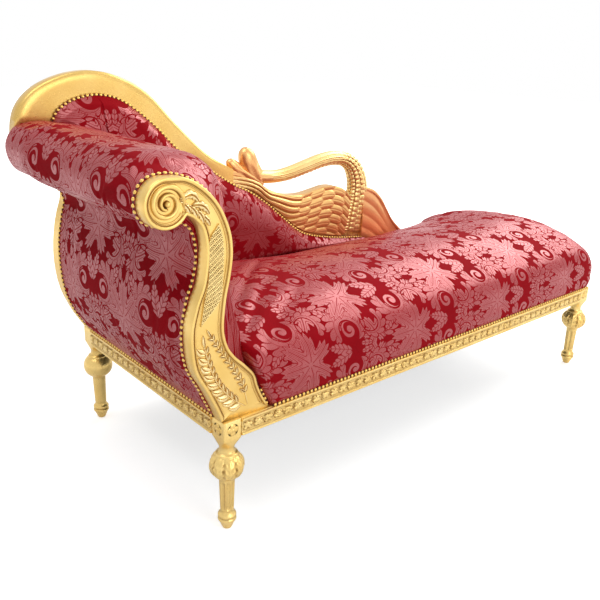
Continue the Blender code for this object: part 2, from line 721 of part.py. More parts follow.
WING_TOP = [(0.0, 0.399), (0.060, 0.387), (0.105, 0.372), (0.129, 0.359), (0.162, 0.343), (0.231, 0.323),
            (0.301, 0.318), (0.368, 0.327), (0.418, 0.334), (0.463, 0.330), (0.505, 0.314), (0.538, 0.284)]
WING_FOOT = [(0.0, 0.369), (0.058, 0.343), (0.132, 0.295), (0.171, 0.263), (0.218, 0.224), (0.267, 0.186),
             (0.316, 0.160), (0.393, 0.139), (0.450, 0.126), (0.506, 0.118)]
TAIL_TOP = [(0.645, 0.304), (0.677, 0.288), (0.717, 0.253), (0.752, 0.208), (0.787, 0.163), (0.839, 0.117),
            (0.885, 0.085), (0.935, 0.045), (TAIL_END - SWAN_X, 0.012)]
TAIL_FOOT = [(0.628, 0.0), (TAIL_END - SWAN_X, 0.0)]


def ridged_panel(name, origin, top, foot, stations, ridges, covered, body):
    """Panel between two edges, carved in ridges from end to end above a flat margin along its foot."""
    upper = curve_through([(SWAN_X + x, z) for x, z in top], stations)
    lower = curve_through([(SWAN_X + x, z) for x, z in foot], stations)
    rows = ridges * RIDGE_STEPS
    rings = []
    for k, (a, b) in enumerate(zip(lower, upper)):
        grow = ease(k / (stations - 1), 0.0, 0.25)
        margin = min(covered / (b - a).length, 0.65)
        ring = [(a[0], FRAME_FRONT, a[1] + RAIL_TOP + CLEARANCE)]
        for i in range(rows + 1):
            share = i / rows
            point = a.lerp(b, blend(margin, 1.0, share))
            wave = abs(math.sin(math.pi * ridges * share)) ** 0.7 * blend(0.25, 1.0, grow)
            swell = body * math.sin(math.pi * share) * grow
            ring.append((point[0], FRAME_FRONT - FEATHER_RELIEF * wave - swell,
                         point[1] + RAIL_TOP + CLEARANCE))
        ring.append((b[0], BACK_FACE, b[1] + RAIL_TOP + CLEARANCE))
        ring.append((a[0], BACK_FACE, a[1] + RAIL_TOP + CLEARANCE))
        rings.append(ring)
    place(loft(rings), name, "gilt", origin, location=(CLEARANCE, 0, 0))


def tube(path, sides=12, start=None, end=None):
    """Round tube through (x, z, in-plane radius, depth radius) stations on the frame's middle plane."""
    middle = (FRAME_FRONT + BACK_FACE) / 2
    count = len(path)
    rings = []
    for i, (x, z, flat, deep) in enumerate(path):
        a = path[max(i - 1, 0)]
        b = path[min(i + 1, count - 1)]
        along = Vector((b[0] - a[0], b[1] - a[1])).normalized()
        if i == 0 and start:
            along = Vector(start)
        if i == count - 1 and end:
            along = Vector(end)
        ring = []
        for k in range(sides):
            angle = math.tau * k / sides
            across = flat * math.cos(angle)
            ring.append((x - along[1] * across, middle + deep * math.sin(angle),
                         z + along[0] * across + RAIL_TOP))
        rings.append(ring)
    return loft(rings)


def smooth_path(points, samples):
    return [tuple(p) for p in curve_through([Vector(p) for p in points], samples)]


SWAN_NECK = [(0.001, 0.418, 0.0155, 0.020), (0.060, 0.407, 0.0185, 0.022), (0.122, 0.397, 0.0200, 0.023),
             (0.190, 0.389, 0.0220, 0.024), (0.251, 0.3945, 0.0235, 0.024), (0.333, 0.412, 0.0250, 0.025),
             (0.393, 0.425, 0.0255, 0.025), (0.456, 0.431, 0.0260, 0.026), (0.515, 0.423, 0.0275, 0.027),
             (0.556, 0.398, 0.0320, 0.028), (0.582, 0.360, 0.0400, 0.029), (0.594, 0.320, 0.0460, 0.030),
             (0.594, 0.284, 0.0495, 0.030)]
SWAN_HEAD = [(0.106, 0.392, 0.016, 0.014), (0.092, 0.410, 0.030, 0.022), (0.079, 0.430, 0.0335, 0.026),
             (0.069, 0.452, 0.0325, 0.027), (0.061, 0.472, 0.0275, 0.024), (0.056, 0.488, 0.0185, 0.017),
             (0.054, 0.497, 0.0070, 0.007)]
SWAN_BEAK = [(0.080, 0.405, 0.012, 0.012), (0.052, 0.422, 0.017, 0.015), (0.026, 0.440, 0.0175, 0.016),
             (0.004, 0.456, 0.0150, 0.014), (-0.008, 0.465, 0.0060, 0.006)]
SWAN_BREAST = [(0.594, 0.2836, 0.0495, 0.030), (0.588, 0.245, 0.0530, 0.031), (0.580, 0.200, 0.0560, 0.031),
               (0.575, 0.150, 0.0590, 0.029), (0.573, 0.132, 0.0595, 0.0195), (0.570, 0.070, 0.0580, 0.0195),
               (0.570, 0.0003, 0.0560, 0.0195)]


def from_swan(path):
    return [(SWAN_X + x, z, flat, deep) for x, z, flat, deep in path]


def swan_neck(origin):
    """Arched neck with the turned-up head and the beak at its root."""
    arch = smooth_path(from_swan(SWAN_NECK), 26)
    item = place(tube(arch, 12, (1, 0), (0, -1)), "swan_neck", "gilt", origin)
    head = place(tube(smooth_path(from_swan(SWAN_HEAD), 9), 10), "swan_head_form", "gilt", origin)
    beak = place(tube(smooth_path(from_swan(SWAN_BEAK), 7), 8), "swan_beak_form", "gilt", origin)
    boolean(item, head, "UNION")
    boolean(item, beak, "UNION")


def swan_body(origin):
    ridged_panel("swan_wing", origin, WING_TOP, WING_FOOT, 16, FEATHERS, TACKING_MARGIN * 1.3, 0.006)
    ridged_panel("swan_tail", origin, TAIL_TOP, TAIL_FOOT, 12, TAIL_RIDGES, 0.022, 0.0)
    place(tube(from_swan(SWAN_BREAST), 14, (0, -1), (0, -1)), "swan_breast", "gilt", origin)


def back_inner_frame(origin):
    """Tacking rail above the seat and the posts that carry the crest and the wing."""
    low_y = (FRAME_FRONT + BACK_FACE - TACK_RAIL_THICKNESS) / 2
    high_y = low_y + TACK_RAIL_THICKNESS
    low_z = RAIL_TOP + TACK_RAIL_FOOT
    start = STILE_RIGHT[-1][0] + 2 * CLEARANCE
    end = SWAN_X + SWAN_BREAST[-1][0] - SWAN_BREAST[-2][2] - 2 * CLEARANCE
    place(box((start, low_y, low_z), (end, high_y, low_z + TACK_RAIL_HEIGHT)),
          "back_tack_rail", "beech", origin, smooth=False)
    foot = low_z + TACK_RAIL_HEIGHT + CLEARANCE
    crest = curve_through(to_swan(CREST_INNER[4:]), CURVE_SAMPLES)
    wing = curve_through([(SWAN_X + x, z) for x, z in WING_FOOT], CURVE_SAMPLES)
    for name, x, edge in (("back_post_head", SWAN_X * 0.32, crest),
                          ("back_post_mid", SWAN_X * 0.80, crest),
                          ("back_post_wing", SWAN_X + 0.30, wing)):
        left, right = x - POST_WIDTH / 2, x + POST_WIDTH / 2
        drop = RAIL_TOP - 3 * CLEARANCE
        outline = [(left, foot), (right, foot), (right, drop + height_on(edge, right)),
                   (left, drop + height_on(edge, left))]
        place(slab(outline, 1, low_y, high_y), name, "beech", origin, smooth=False)


# Back upholstery

def back_top_line():
    """Edge of the fabric along the crest, the wing and the breast, where the nails run."""
    head = [(-0.094, 0.600), (-0.088, 0.614), (-0.073, 0.640), (-0.040, 0.662), (0.000, 0.675),
            (0.045, 0.679), (0.100, 0.668), (0.155, 0.636), (0.219, 0.584), (0.298, 0.508),
            (0.410, 0.438), (0.500, 0.384)]
    swan = [(0.058, 0.357), (0.132, 0.309), (0.171, 0.277), (0.218, 0.239), (0.267, 0.200),
            (0.316, 0.174), (0.393, 0.153), (0.485, 0.136), (0.582, 0.124), (0.622, 0.121)]
    return curve_through(to_swan(head) + [(SWAN_X + x, z) for x, z in swan], CURVE_SAMPLES)


def roll_edge():
    """Line just outside the arm's damask at the back, from the top of the roll to its inner flank."""
    section = shrink(arm_section(FRAME_FRONT - CLEARANCE, 0.0), -PAD_MARGIN)
    crown = max(range(len(section)), key=lambda i: section[i][1])
    flank = max(range(len(section)), key=lambda i: section[i][0] if section[i][1] > 0.25 else -1)
    return section[crown:flank + 1]


def back_foot_height(x, edge, foot):
    """Where the back pad starts above the arm's roll, the arm's foot or the seat frame."""
    for a, b in zip(edge, edge[1:]):
        if x <= b[0]:
            return blend(a[1], b[1], (x - a[0]) / (b[0] - a[0]))
    if x < foot[-1][0] + 2 * PAD_MARGIN:
        return max(min(foot, key=lambda p: abs(p[0] + 2 * PAD_MARGIN - x))[1] + PAD_MARGIN, STUFFING_FOOT)
    return STUFFING_FOOT


def back_columns():
    """Stations of the back pad, at the points of the arm's section where the pad stands on the arm."""
    over_roll = [-0.088] + [p[0] for p in roll_edge() if p[0] > -0.080]
    over_foot = [over_roll[-1] + 0.0008, 0.053, 0.060, 0.070, 0.080, 0.092, 0.105, 0.120]
    over_seat = [blend(0.150, BREAST_EDGE, i / BACK_SPACES) for i in range(BACK_SPACES + 1)]
    return over_roll + over_foot + over_seat


def back_rows(low, top):
    """Heights of the pad's points at one station, with a seam just above the seat."""
    seam = min(SEAM_HEIGHT, blend(low, top, 0.7)) if low < SEAM_HEIGHT else blend(low, top, 0.03)
    return [low] + [blend(seam, top, share) for share in (0.0, 0.12, 0.34, 0.56, 0.74, 0.89, 1.0)]


def back_surface(x, z, top):
    """Front of the back pad, shallow behind the seat and full above it."""
    shallow = FRAME_FRONT - SEAT_BACK - 0.002
    from_top = top - z
    from_side = min(x - BACK_EDGE, BREAST_EDGE + PAD_END - x)
    fullness = min(ease(from_top, -0.02, 0.10), ease(from_side, -0.02, 0.10))
    depth = blend(BACK_PAD_EDGE, BACK_PAD_DEPTH, math.sqrt(fullness))
    limit = blend(shallow, BACK_PAD_DEPTH, ease(z, SEAM_HEIGHT, SEAM_HEIGHT + 0.05))
    return (x, FRAME_FRONT - CLEARANCE - min(depth, limit), z + RAIL_TOP)


def back_upholstery(origin):
    cover_rings = []
    stuffing_rings = []
    rear = FRAME_FRONT - CLEARANCE
    top_line = back_top_line()
    roll = roll_edge()
    foot = curve_through(ARM_FOOT, CURVE_SAMPLES)
    for x in back_columns():
        top = height_on(top_line, x)
        low = back_foot_height(x, roll, foot)
        outer = [back_surface(x, z, top) for z in back_rows(low, top)]
        inner = [(a, y + COVER_THICKNESS, z) for a, y, z in outer]
        filling = [Vector((a, y + COVER_THICKNESS + COVER_EASE, z)) for a, y, z in outer]
        filling[-1] = filling[-1].lerp(filling[-2], STUFFING_SETBACK / (outer[-1][2] - outer[-2][2]))
        cover_rings.append(outer + inner[::-1])
        stuffing_rings.append(filling + [(x, rear, filling[-1][2]), (x, rear, filling[0][2])])
    skin = len(outer)
    place(loft(cover_rings, skin), "back_cover", "damask", origin)
    place(loft(stuffing_rings, skin), "back_stuffing", "stuffing", origin)


OUTSIDE_LEFT = [(-0.013, 0.004), (-0.048, 0.060), (-0.076, 0.130), (-0.087, 0.200), (-0.086, 0.270),
                (-0.073, 0.345), (-0.056, 0.400), (-0.056, 0.440), (-0.078, 0.500), (-0.092, 0.560),
                (-0.094, 0.596)]


def back_outside_cover(origin):
    """Flat damask panel stretched over the rear of the back frame."""
    left = curve_through(OUTSIDE_LEFT, 14)
    top = back_top_line()[::4] + [back_top_line()[-1]]
    foot = [(BREAST_EDGE, 0.004)]
    outline = rise([tuple(p) for p in left] + [tuple(p) for p in top] + foot)
    place(slab(outline, 1, BACK_FACE + CLEARANCE, BACK_FACE + CLEARANCE + COVER_THICKNESS),
          "back_outside_cover", "damask", origin, smooth=False)


# Seat

SEAT_SAMPLES = 26
SEAT_SECTION = [(-0.0235, CLEARANCE), (-0.031, 0.045), (-0.036, 0.095), (-0.030, 0.138), (-0.008, 0.166),
                (0.035, 0.186), (0.100, 0.207), (0.180, 0.222), (0.265, 0.226), (0.350, 0.221),
                (0.450, 0.203), (0.540, 0.174), (0.610, 0.143), (0.640, 0.118), (0.650, 0.080),
                (0.650, STUFFING_FOOT)]


def seat_back_line(x):
    """Back edge of the seat: behind the back pad, before the tail, and out to the rail beyond it."""
    before_tail = FRAME_FRONT - FEATHER_RELIEF - 0.0015
    behind = BACK_FACE - 0.0035
    middle = blend(SEAT_BACK, before_tail, ease(x, BREAST_EDGE, BREAST_EDGE + 0.05))
    return blend(middle, behind, ease(x, *TAIL_GAP))


def seat_head_line(z):
    """Where the seat meets the arm at one height."""
    line = [(0.047, 0.262)] + ARM_FOOT
    for a, b in zip(line, line[1:]):
        if z >= b[1]:
            return blend(a[0], b[0], min((a[1] - z) / (a[1] - b[1]), 1.0)) + SEAT_MARGIN
    return line[-1][0] + SEAT_MARGIN


# Distance from the foot end, share of the full height there and how far the corners draw in
SEAT_ENDS = [(0.30, 1.000, 0.0), (0.18, 0.985, 0.0), (0.10, 0.955, 0.0), (0.055, 0.905, 0.001),
             (0.030, 0.82, 0.003), (0.012, 0.70, 0.009), (0.002, 0.52, 0.018)]


def seat_stations(end):
    """Place, height and corner of each ring of the seat."""
    stations = [(x, 1.0, 0.0) for x in (0.0, 0.0, 0.10, 0.20, 0.62, BREAST_EDGE, BREAST_EDGE + 0.06)]
    for far, near in zip(SEAT_ENDS, SEAT_ENDS[1:]):
        stations.append((end - far[0], far[1], far[2]))
        for x in (TAIL_GAP[0] - 0.002, TAIL_GAP[1] + 0.003):
            if end - far[0] < x < end - near[0]:
                share = (x - end + far[0]) / (far[0] - near[0])
                stations.append((x, blend(far[1], near[1], share), blend(far[2], near[2], share)))
    last = SEAT_ENDS[-1]
    return stations + [(end - last[0], last[1], last[2])]


def seat_rings(inset):
    """Rings of the seat from the arm to the rounded foot end, each open along the bottom."""
    end = FOOT_FACE - SEAT_OVERHANG - inset
    across = SEAT_BACK / SEAT_SECTION[-1][0]
    section = curve_through([(y * across if y > 0 else y, z) for y, z in SEAT_SECTION], SEAT_SAMPLES)
    if inset > 0:
        section = shrink(section, inset)
    front, back = section[0][0], section[-1][0]
    rings = []
    for k, (x, height, corner) in enumerate(seat_stations(end)):
        ring = []
        for p in section:
            z = p[1]
            if z > STUFFING_FOOT * 2:
                z = CLEARANCE + (z - CLEARANCE) * height
            here = x + SEAT_FOOT_BULGE * ease(z, 0.0, 0.06) * ease(x, end - 0.10, end)
            y = p[0]
            if k < 3:
                line = seat_head_line(min(p[1], 0.24)) + inset
                here = (line, line + 0.008, max(x, line + 0.03))[k]
            if k == 0:
                y = max(y, SCROLL_FRONT + 0.003 + inset)
            share = (p[0] - front) / (back - front)
            y = blend(y, y + seat_back_line(here) - inset - back, ease(share, 0.5, 1.0))
            y += corner * (1 - 2 * ease(share, 0.3, 0.7)) * (0.4 + 0.6 * ease(z, 0.0, 0.05))
            ring.append((here, y, z + RAIL_TOP))
        foot = blend(STUFFING_FOOT, CLEARANCE, ease(x, *TAIL_GAP))
        ring[0] = (ring[0][0], ring[0][1], RAIL_TOP + (STUFFING_FOOT if k == 0 else CLEARANCE))
        ring[-1] = (ring[-1][0], ring[-1][1], RAIL_TOP + foot)
        rings.append(ring)
    return rings


def seat_cover(origin):
    """Damask over the foam: two skins closed at both ends and joined along the tacked edges."""
    bm = bmesh.new()
    out = shell(bm, seat_rings(0.0), True)
    into = shell(bm, seat_rings(COVER_THICKNESS), True)
    rims = []
    for rows in (out, into):
        rims.append([row[0] for row in rows] + [row[-1] for row in reversed(rows)] + [rows[0][0]])
    edge_strip(bm, *rims)
    place(bm, "seat_cover", "damask", origin)


def seat_foam(origin):
    rings = []
    for ring in seat_rings(COVER_THICKNESS + COVER_EASE):
        rings.append([(x, y, max(z, STUFFING_Z)) for x, y, z in ring])
    bm = bmesh.new()
    rows = shell(bm, rings, True)
    edge_strip(bm, [row[0] for row in rows], [row[-1] for row in rows])
    place(bm, "seat_foam", "stuffing", origin)


def webbing(origin):
    """Straps on the rail tops, the cross straps over the long ones."""
    low_x, high_x = WEBBING_END, LEG_SPAN - WEBBING_END
    low_y, high_y = SCROLL_REAR + 0.001, FRAME_FRONT - 0.001
    first = WEBBING_INSET + WEBBING_WIDTH / 2
    z = RAIL_TOP + CLEARANCE
    for i in range(LONG_WEBS):
        y = blend(low_y + first, high_y - first, i / (LONG_WEBS - 1))
        place(box((low_x, y - WEBBING_WIDTH / 2, z), (high_x, y + WEBBING_WIDTH / 2, z + WEBBING_THICKNESS)),
              "webbing_long_%d" % (i + 1), "jute", origin, smooth=False)
    z += WEBBING_THICKNESS + CLEARANCE
    for i in range(CROSS_WEBS):
        x = blend(0.16, LEG_SPAN - 0.10, i / (CROSS_WEBS - 1))
        place(box((x - WEBBING_WIDTH / 2, low_y, z), (x + WEBBING_WIDTH / 2, high_y, z + WEBBING_THICKNESS)),
              "webbing_cross_%d" % (i + 1), "jute", origin, smooth=False)
    z += WEBBING_THICKNESS + CLEARANCE
    place(box((low_x + 0.01, low_y + 0.004, z), (high_x - 0.01, high_y - 0.004, z + HESSIAN_THICKNESS)),
          "seat_hessian", "jute", origin, smooth=False)


def dust_cover(origin):
    """Black cambric under the rails, notched at the legs."""
    notch = HALF_BLOCK + 0.002
    low_x, high_x = FRONT_FACE + DUST_COVER_MARGIN, FOOT_FACE - DUST_COVER_MARGIN
    low_y, high_y = FRONT_FACE + DUST_COVER_MARGIN, BACK_FACE - DUST_COVER_MARGIN
    left, right = notch, LEG_SPAN - notch
    front, back = notch, LEG_DEPTH - notch
    outline = [(left, low_y), (right, low_y), (right, front), (high_x, front), (high_x, back),
               (right, back), (right, high_y), (left, high_y), (left, back), (low_x, back),
               (low_x, front), (left, front)]
    top = RAIL_BOTTOM - CLEARANCE
    place(slab(outline, 2, top - DUST_COVER_THICKNESS, top), "dust_cover", "cambric", origin, smooth=False)


def meridienne():
    clear_scene()
    origin = bpy.data.objects.new("origin", None)
    bpy.context.collection.objects.link(origin)
    low_x, high_x = -ROLL_REACH, LEG_SPAN + BULB_RADIUS
    origin.location = (-(low_x + high_x) / 2, -LEG_DEPTH / 2, 0.0)
    legs(origin)
    rails(origin)
    braces(origin)
    stretchers(origin)
    arm_scroll_front(origin)
    stile_back_head(origin)
    arm_rails(origin)
    arm_stuffing(origin)
    arm_cover(origin)
    crest_rail(origin)
    swan_neck(origin)
    swan_body(origin)
    back_inner_frame(origin)
    back_upholstery(origin)
    back_outside_cover(origin)
    webbing(origin)
    seat_foam(origin)
    seat_cover(origin)
    dust_cover(origin)


meridienne()
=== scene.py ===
"""Meridienne: gilt swan day bed in red damask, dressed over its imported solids.
Outlines are drawn from the axis of the front head leg and the top of the seat rail, in metres."""

import math

import bmesh
import bpy
import numpy as np
from mathutils import Matrix, Vector
from mathutils.geometry import delaunay_2d_cdt


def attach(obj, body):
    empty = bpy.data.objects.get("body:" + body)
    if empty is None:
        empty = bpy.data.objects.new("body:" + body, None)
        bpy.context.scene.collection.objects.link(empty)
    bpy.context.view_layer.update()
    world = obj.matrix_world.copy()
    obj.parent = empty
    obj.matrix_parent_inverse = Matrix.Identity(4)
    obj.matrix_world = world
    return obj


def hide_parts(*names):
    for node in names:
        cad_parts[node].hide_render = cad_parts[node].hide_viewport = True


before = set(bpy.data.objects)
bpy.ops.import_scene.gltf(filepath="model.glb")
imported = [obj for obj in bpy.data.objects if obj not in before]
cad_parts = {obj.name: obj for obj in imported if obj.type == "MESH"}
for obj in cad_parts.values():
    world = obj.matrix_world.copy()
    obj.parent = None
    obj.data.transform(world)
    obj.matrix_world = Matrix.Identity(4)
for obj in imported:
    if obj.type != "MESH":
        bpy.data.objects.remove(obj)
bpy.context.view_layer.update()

HEAD_LEG = np.array((-0.7155, -0.345, 0.309))   # the drawing's datum in the model's frame
LEG_SPAN = 1.600
LEG_DEPTH = 0.690
RAIL_TOP = 0.309
RAIL_HEIGHT = 0.047
HALF_BLOCK = 0.0255
CLEAR = 0.0003          # between one piece of the dressing and the next
FRAME_FRONT = LEG_DEPTH + HALF_BLOCK - 0.040
BACK_FACE = LEG_DEPTH + HALF_BLOCK
SWAN_X = 0.500          # where the drawings of the crest and the swan meet
BREAST_EDGE = SWAN_X + 0.622
TAIL_END = SWAN_X + 0.965
SCROLL_FRONT = -0.0195
SCROLL_REAR = 0.0145


# Curves and surfaces

def blend(a, b, t):
    """From a at 0 to b at 1."""
    return a + (b - a) * t


def ease(x, low, high):
    """Smooth step from 0 at low to 1 at high."""
    t = np.clip((np.asarray(x, float) - low) / (high - low), 0.0, 1.0)
    return t * t * (3 - 2 * t)


def curve(points, steps):
    """Smooth curve through the given points, with so many steps from one to the next."""
    p = np.asarray(points, float)
    p = np.vstack([2 * p[0] - p[1], p, 2 * p[-1] - p[-2]])
    t = np.linspace(0, 1, steps, endpoint=False)[:, None]
    runs = [0.5 * (2 * b + (c - a) * t + (2 * a - 5 * b + 4 * c - d) * t * t + (3 * b - a - 3 * c + d) * t ** 3)
            for a, b, c, d in zip(p, p[1:], p[2:], p[3:])]
    return np.vstack(runs + [p[-2:-1]])


def mm(*points):
    """Points written in millimetres, in metres."""
    return np.array(points) / 1000


def grid_of(*columns):
    """Points from their coordinates, each of which may be the same along a row or a column."""
    return np.stack(np.broadcast_arrays(*columns), -1)


def round_turn(count):
    """Angles in even steps round a circle."""
    return np.linspace(0, math.tau, count, endpoint=False)


def circle(turn):
    """Points of a circle of radius 1 at the given angles."""
    return grid_of(np.cos(turn), np.sin(turn))


def hump(share, power=1):
    """Rises from 0 to 1 and falls to 0 again while the share goes from 0 to 1."""
    return np.sin(math.pi * share) ** power


def groove(off, half):
    """Soft groove: 1 in its middle, and next to nothing at twice its half width."""
    return np.exp(-(off / half) ** 2)


def ridge(off, half):
    """Half-round ridge, from 1 on its crest to 0 at its sides."""
    return np.sqrt(np.clip(1 - (off / half) ** 2, 0, 1))


def run_length(line):
    """How far along a line each of its points lies."""
    return np.r_[0, np.cumsum(np.linalg.norm(np.diff(line, axis=0), axis=1))]


def smooth(points, count):
    """Even steps along a smooth curve through the given points."""
    line = curve(points, 16)
    run = run_length(line)
    at = np.linspace(0, run[-1], count)
    return np.stack([np.interp(at, run, column) for column in line.T], 1)


def heading(line, axis=0):
    """Direction of a line at each of its points."""
    way = np.gradient(line, axis=axis)
    return way / np.linalg.norm(way, axis=-1, keepdims=True)


def left_of(way):
    """A direction in the drawing turned to its left."""
    return grid_of(-way[..., 1], way[..., 0])


def distance(points, line):
    """Distance from each point to a line."""
    near = np.full(len(points), 1e9)
    for a, b in zip(line, line[1:]):
        step = b - a
        t = np.clip((points - a) @ step / max(float(step @ step), 1e-12), 0, 1)
        near = np.minimum(near, np.linalg.norm(points - a - t[:, None] * step, axis=1))
    return near


def ripple(p, size, seed=0.0):
    """Smooth seeded unevenness between -1 and 1."""
    x, y, z = (np.asarray(c, float) / size for c in p)
    total = 0.0
    for k in range(1, 6):
        a, b, c = math.sin(k * 2.1 + seed), math.cos(k * 3.7 + seed), math.sin(k * 5.3 - seed)
        total = total + np.sin((a * x + b * y + c * z) * 5.1 + k * 1.7 + seed * 3)
    return total / 5


def closed(ring):
    """A grid whose columns go all the way round."""
    return np.concatenate([ring, ring[:, :1]], 1)


def flat_ends(ring):
    """Both ends of a tube, closed from side to side."""
    half = ring.shape[1] // 2
    return [np.stack([ring[k, :half], ring[k, ::-1][:half]], 1) for k in (0, -1)]


def round_ends(ring, shares):
    """Both ends of a tube, closed in steps to the middle."""
    t = np.array(shares)[:, None, None]
    return [closed(blend(ring[k][None], ring[k].mean(0), t)) for k in (0, -1)]


def slab(front, rear, faces):
    """Points and faces of a solid between two sheets that have the same faces."""
    count = len(front)
    sides = {pair: True for face in faces for pair in zip(face, face[1:] + face[:1])}
    rim = [(b, a, a + count, b + count) for a, b in sides if (b, a) not in sides]
    return np.vstack([front, rear]), faces + [[i + count for i in reversed(face)] for face in faces] + rim


def piece(name, sheets, finish, cloth=(), **settings):
    """One mesh from grids of points (rows, columns, 3) in the drawing's frame, joined where they meet."""
    faces, start = [], 0
    for grid in sheets:
        rows, columns = grid.shape[:2]
        index = np.arange(rows * columns).reshape(rows, columns) + start
        faces.append(np.stack([index[:-1, :-1], index[:-1, 1:], index[1:, 1:], index[1:, :-1]], -1).reshape(-1, 4))
        start += rows * columns
    points = np.vstack([grid.reshape(-1, 3) for grid in sheets])
    marks = np.vstack([spots.reshape(-1, 2) for spots in cloth]) if cloth else None
    return dress(name, points, np.vstack(faces).tolist(), finish, marks=marks, **settings)


def placed(name, data):
    """An object in the scene."""
    item = bpy.data.objects.new(name, data)
    bpy.context.scene.collection.objects.link(item)
    return item


def dress(name, points, faces, finish, sharp=50, merge=2e-5, fill=False, marks=None):
    """Makes a welded mesh with its faces outwards, and puts it in the scene on the fixed body.
    marks are the points' places on the cloth."""
    mesh = bpy.data.meshes.new(name)
    mesh.from_pydata((points + HEAD_LEG).tolist(), [], faces)
    if marks is not None:
        layer = mesh.uv_layers.new(name="cloth")
        loops = np.empty(len(mesh.loops), int)
        mesh.loops.foreach_get("vertex_index", loops)
        layer.data.foreach_set("uv", marks[loops].astype(np.float32).ravel())
    bm = bmesh.new()
    bm.from_mesh(mesh)
    bmesh.ops.remove_doubles(bm, verts=bm.verts, dist=merge)
    bmesh.ops.dissolve_degenerate(bm, edges=bm.edges, dist=1e-6)
    bmesh.ops.delete(bm, geom=[v for v in bm.verts if not v.link_faces], context="VERTS")
    if fill:
        bmesh.ops.holes_fill(bm, edges=[e for e in bm.edges if e.is_boundary])
    bmesh.ops.recalc_face_normals(bm, faces=bm.faces)
    bm.to_mesh(mesh)
    bm.free()
    mesh.shade_smooth()
    if sharp:
        mesh.set_sharp_from_angle(angle=math.radians(sharp))
    mesh.materials.append(finish)
    item = placed(name, mesh)
    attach(item, "root")
    return item


def swell(item, loose, slack, most):
    """Lets a cushion's cloth fill out from its nails as under air pressure, moved by at most a few millimetres.
    loose is 0 where the cloth is held and 1 where it is free."""
    scene = bpy.context.scene
    mesh = item.data
    before = np.empty(len(mesh.vertices) * 3)
    mesh.vertices.foreach_get("co", before)
    before = before.reshape(-1, 3)
    share = loose(*(before - HEAD_LEG).T)
    trial = placed("trial_cloth", mesh.copy())
    held = trial.vertex_groups.new(name="nailed")
    for level in range(11):
        near = np.flatnonzero(np.round(share * 10) == level)
        if len(near):
            held.add(near.tolist(), 1 - level / 10, "REPLACE")
    cloth = trial.modifiers.new("cloth", "CLOTH")
    rules = cloth.settings
    rules.quality = 4
    rules.mass = 0.3
    rules.tension_stiffness = rules.compression_stiffness = 12
    rules.shear_stiffness = 6
    rules.bending_stiffness = 0.6
    rules.shrink_min = -slack
    rules.use_pressure = True
    rules.uniform_pressure_force = 4.0
    rules.vertex_group_mass = held.name
    rules.effector_weights.gravity = 0.0
    cloth.point_cache.frame_start, cloth.point_cache.frame_end = 1, 20
    for number in range(1, 21):
        scene.frame_set(number)
    swollen = trial.evaluated_get(bpy.context.evaluated_depsgraph_get()).data
    after = np.empty(len(before) * 3)
    swollen.vertices.foreach_get("co", after)
    move = after.reshape(-1, 3) - before
    size = np.linalg.norm(move, axis=1, keepdims=True)
    move *= most * np.tanh(size / most) / np.maximum(size, 1e-9) * share[:, None]
    mesh.vertices.foreach_set("co", (before + move).ravel())
    mesh.update()
    scene.frame_set(1)
    spare = trial.data
    bpy.data.objects.remove(trial)
    bpy.data.meshes.remove(spare)


# Finishes

def colour(code):
    """sRGB hex to linear."""
    values = [int(code[i:i + 2], 16) / 255 for i in (1, 3, 5)]
    return (*(v / 12.92 if v <= 0.04045 else ((v + 0.055) / 1.055) ** 2.4 for v in values), 1.0)


def add(tree, kind, *inputs, out=0, **settings):
    """Adds a node, named with its operation, with its inputs in order and its settings. Gives one output."""
    kind, _, mode = kind.partition(" ")
    item = tree.nodes.new("ShaderNode" + kind)
    if mode:
        item.operation = mode
    for name, value in settings.items():
        setattr(item, name, value)
    for k, source in enumerate(inputs):
        wire(item, k, source)
    return item.outputs[out]


def wire(item, key, source):
    """Links a source to one input of a node, or sets the input to a value."""
    if isinstance(source, bpy.types.NodeSocket):
        item.id_data.links.new(source, item.inputs[key])
    elif source is not None:
        item.inputs[key].default_value = source


def new_finish(name, roughness, metallic=0.0, **settings):
    """A material, its tree and its shader."""
    material = bpy.data.materials.new(name)
    material.use_nodes = True
    shader = material.node_tree.nodes["Principled BSDF"]
    for key, value in {"Roughness": roughness, "Metallic": metallic, **settings}.items():
        wire(shader, key.replace("_", " "), value)
    return material, material.node_tree, shader


REPEAT = 0.395          # one repeat of the damask along the warp
HALF_ROW = 0.165        # from one row of flowers to the next
LEAF_RIM = 0.0018       # dark line where one leaf lies over another
UNUSED = [None] * 5     # inputs of a Mix node between its factor and its two colours
COLOURED = {"data_type": "RGBA", "out": 2}


def motif(name, sizes):
    """An empty group from a place on the cloth and some sizes to a leaf's depth and its veins."""
    tree = bpy.data.node_groups.new(name, "ShaderNodeTree")
    tree.interface.new_socket("Place", in_out="INPUT", socket_type="NodeSocketVector")
    for size in sizes:
        tree.interface.new_socket(size, in_out="INPUT", socket_type="NodeSocketFloat")
    for result in ("Depth", "Vein"):
        tree.interface.new_socket(result, in_out="OUTPUT", socket_type="NodeSocketFloat")
    start = tree.nodes.new("NodeGroupInput").outputs
    return tree, list(start)[:len(sizes) + 1], tree.nodes.new("NodeGroupOutput")


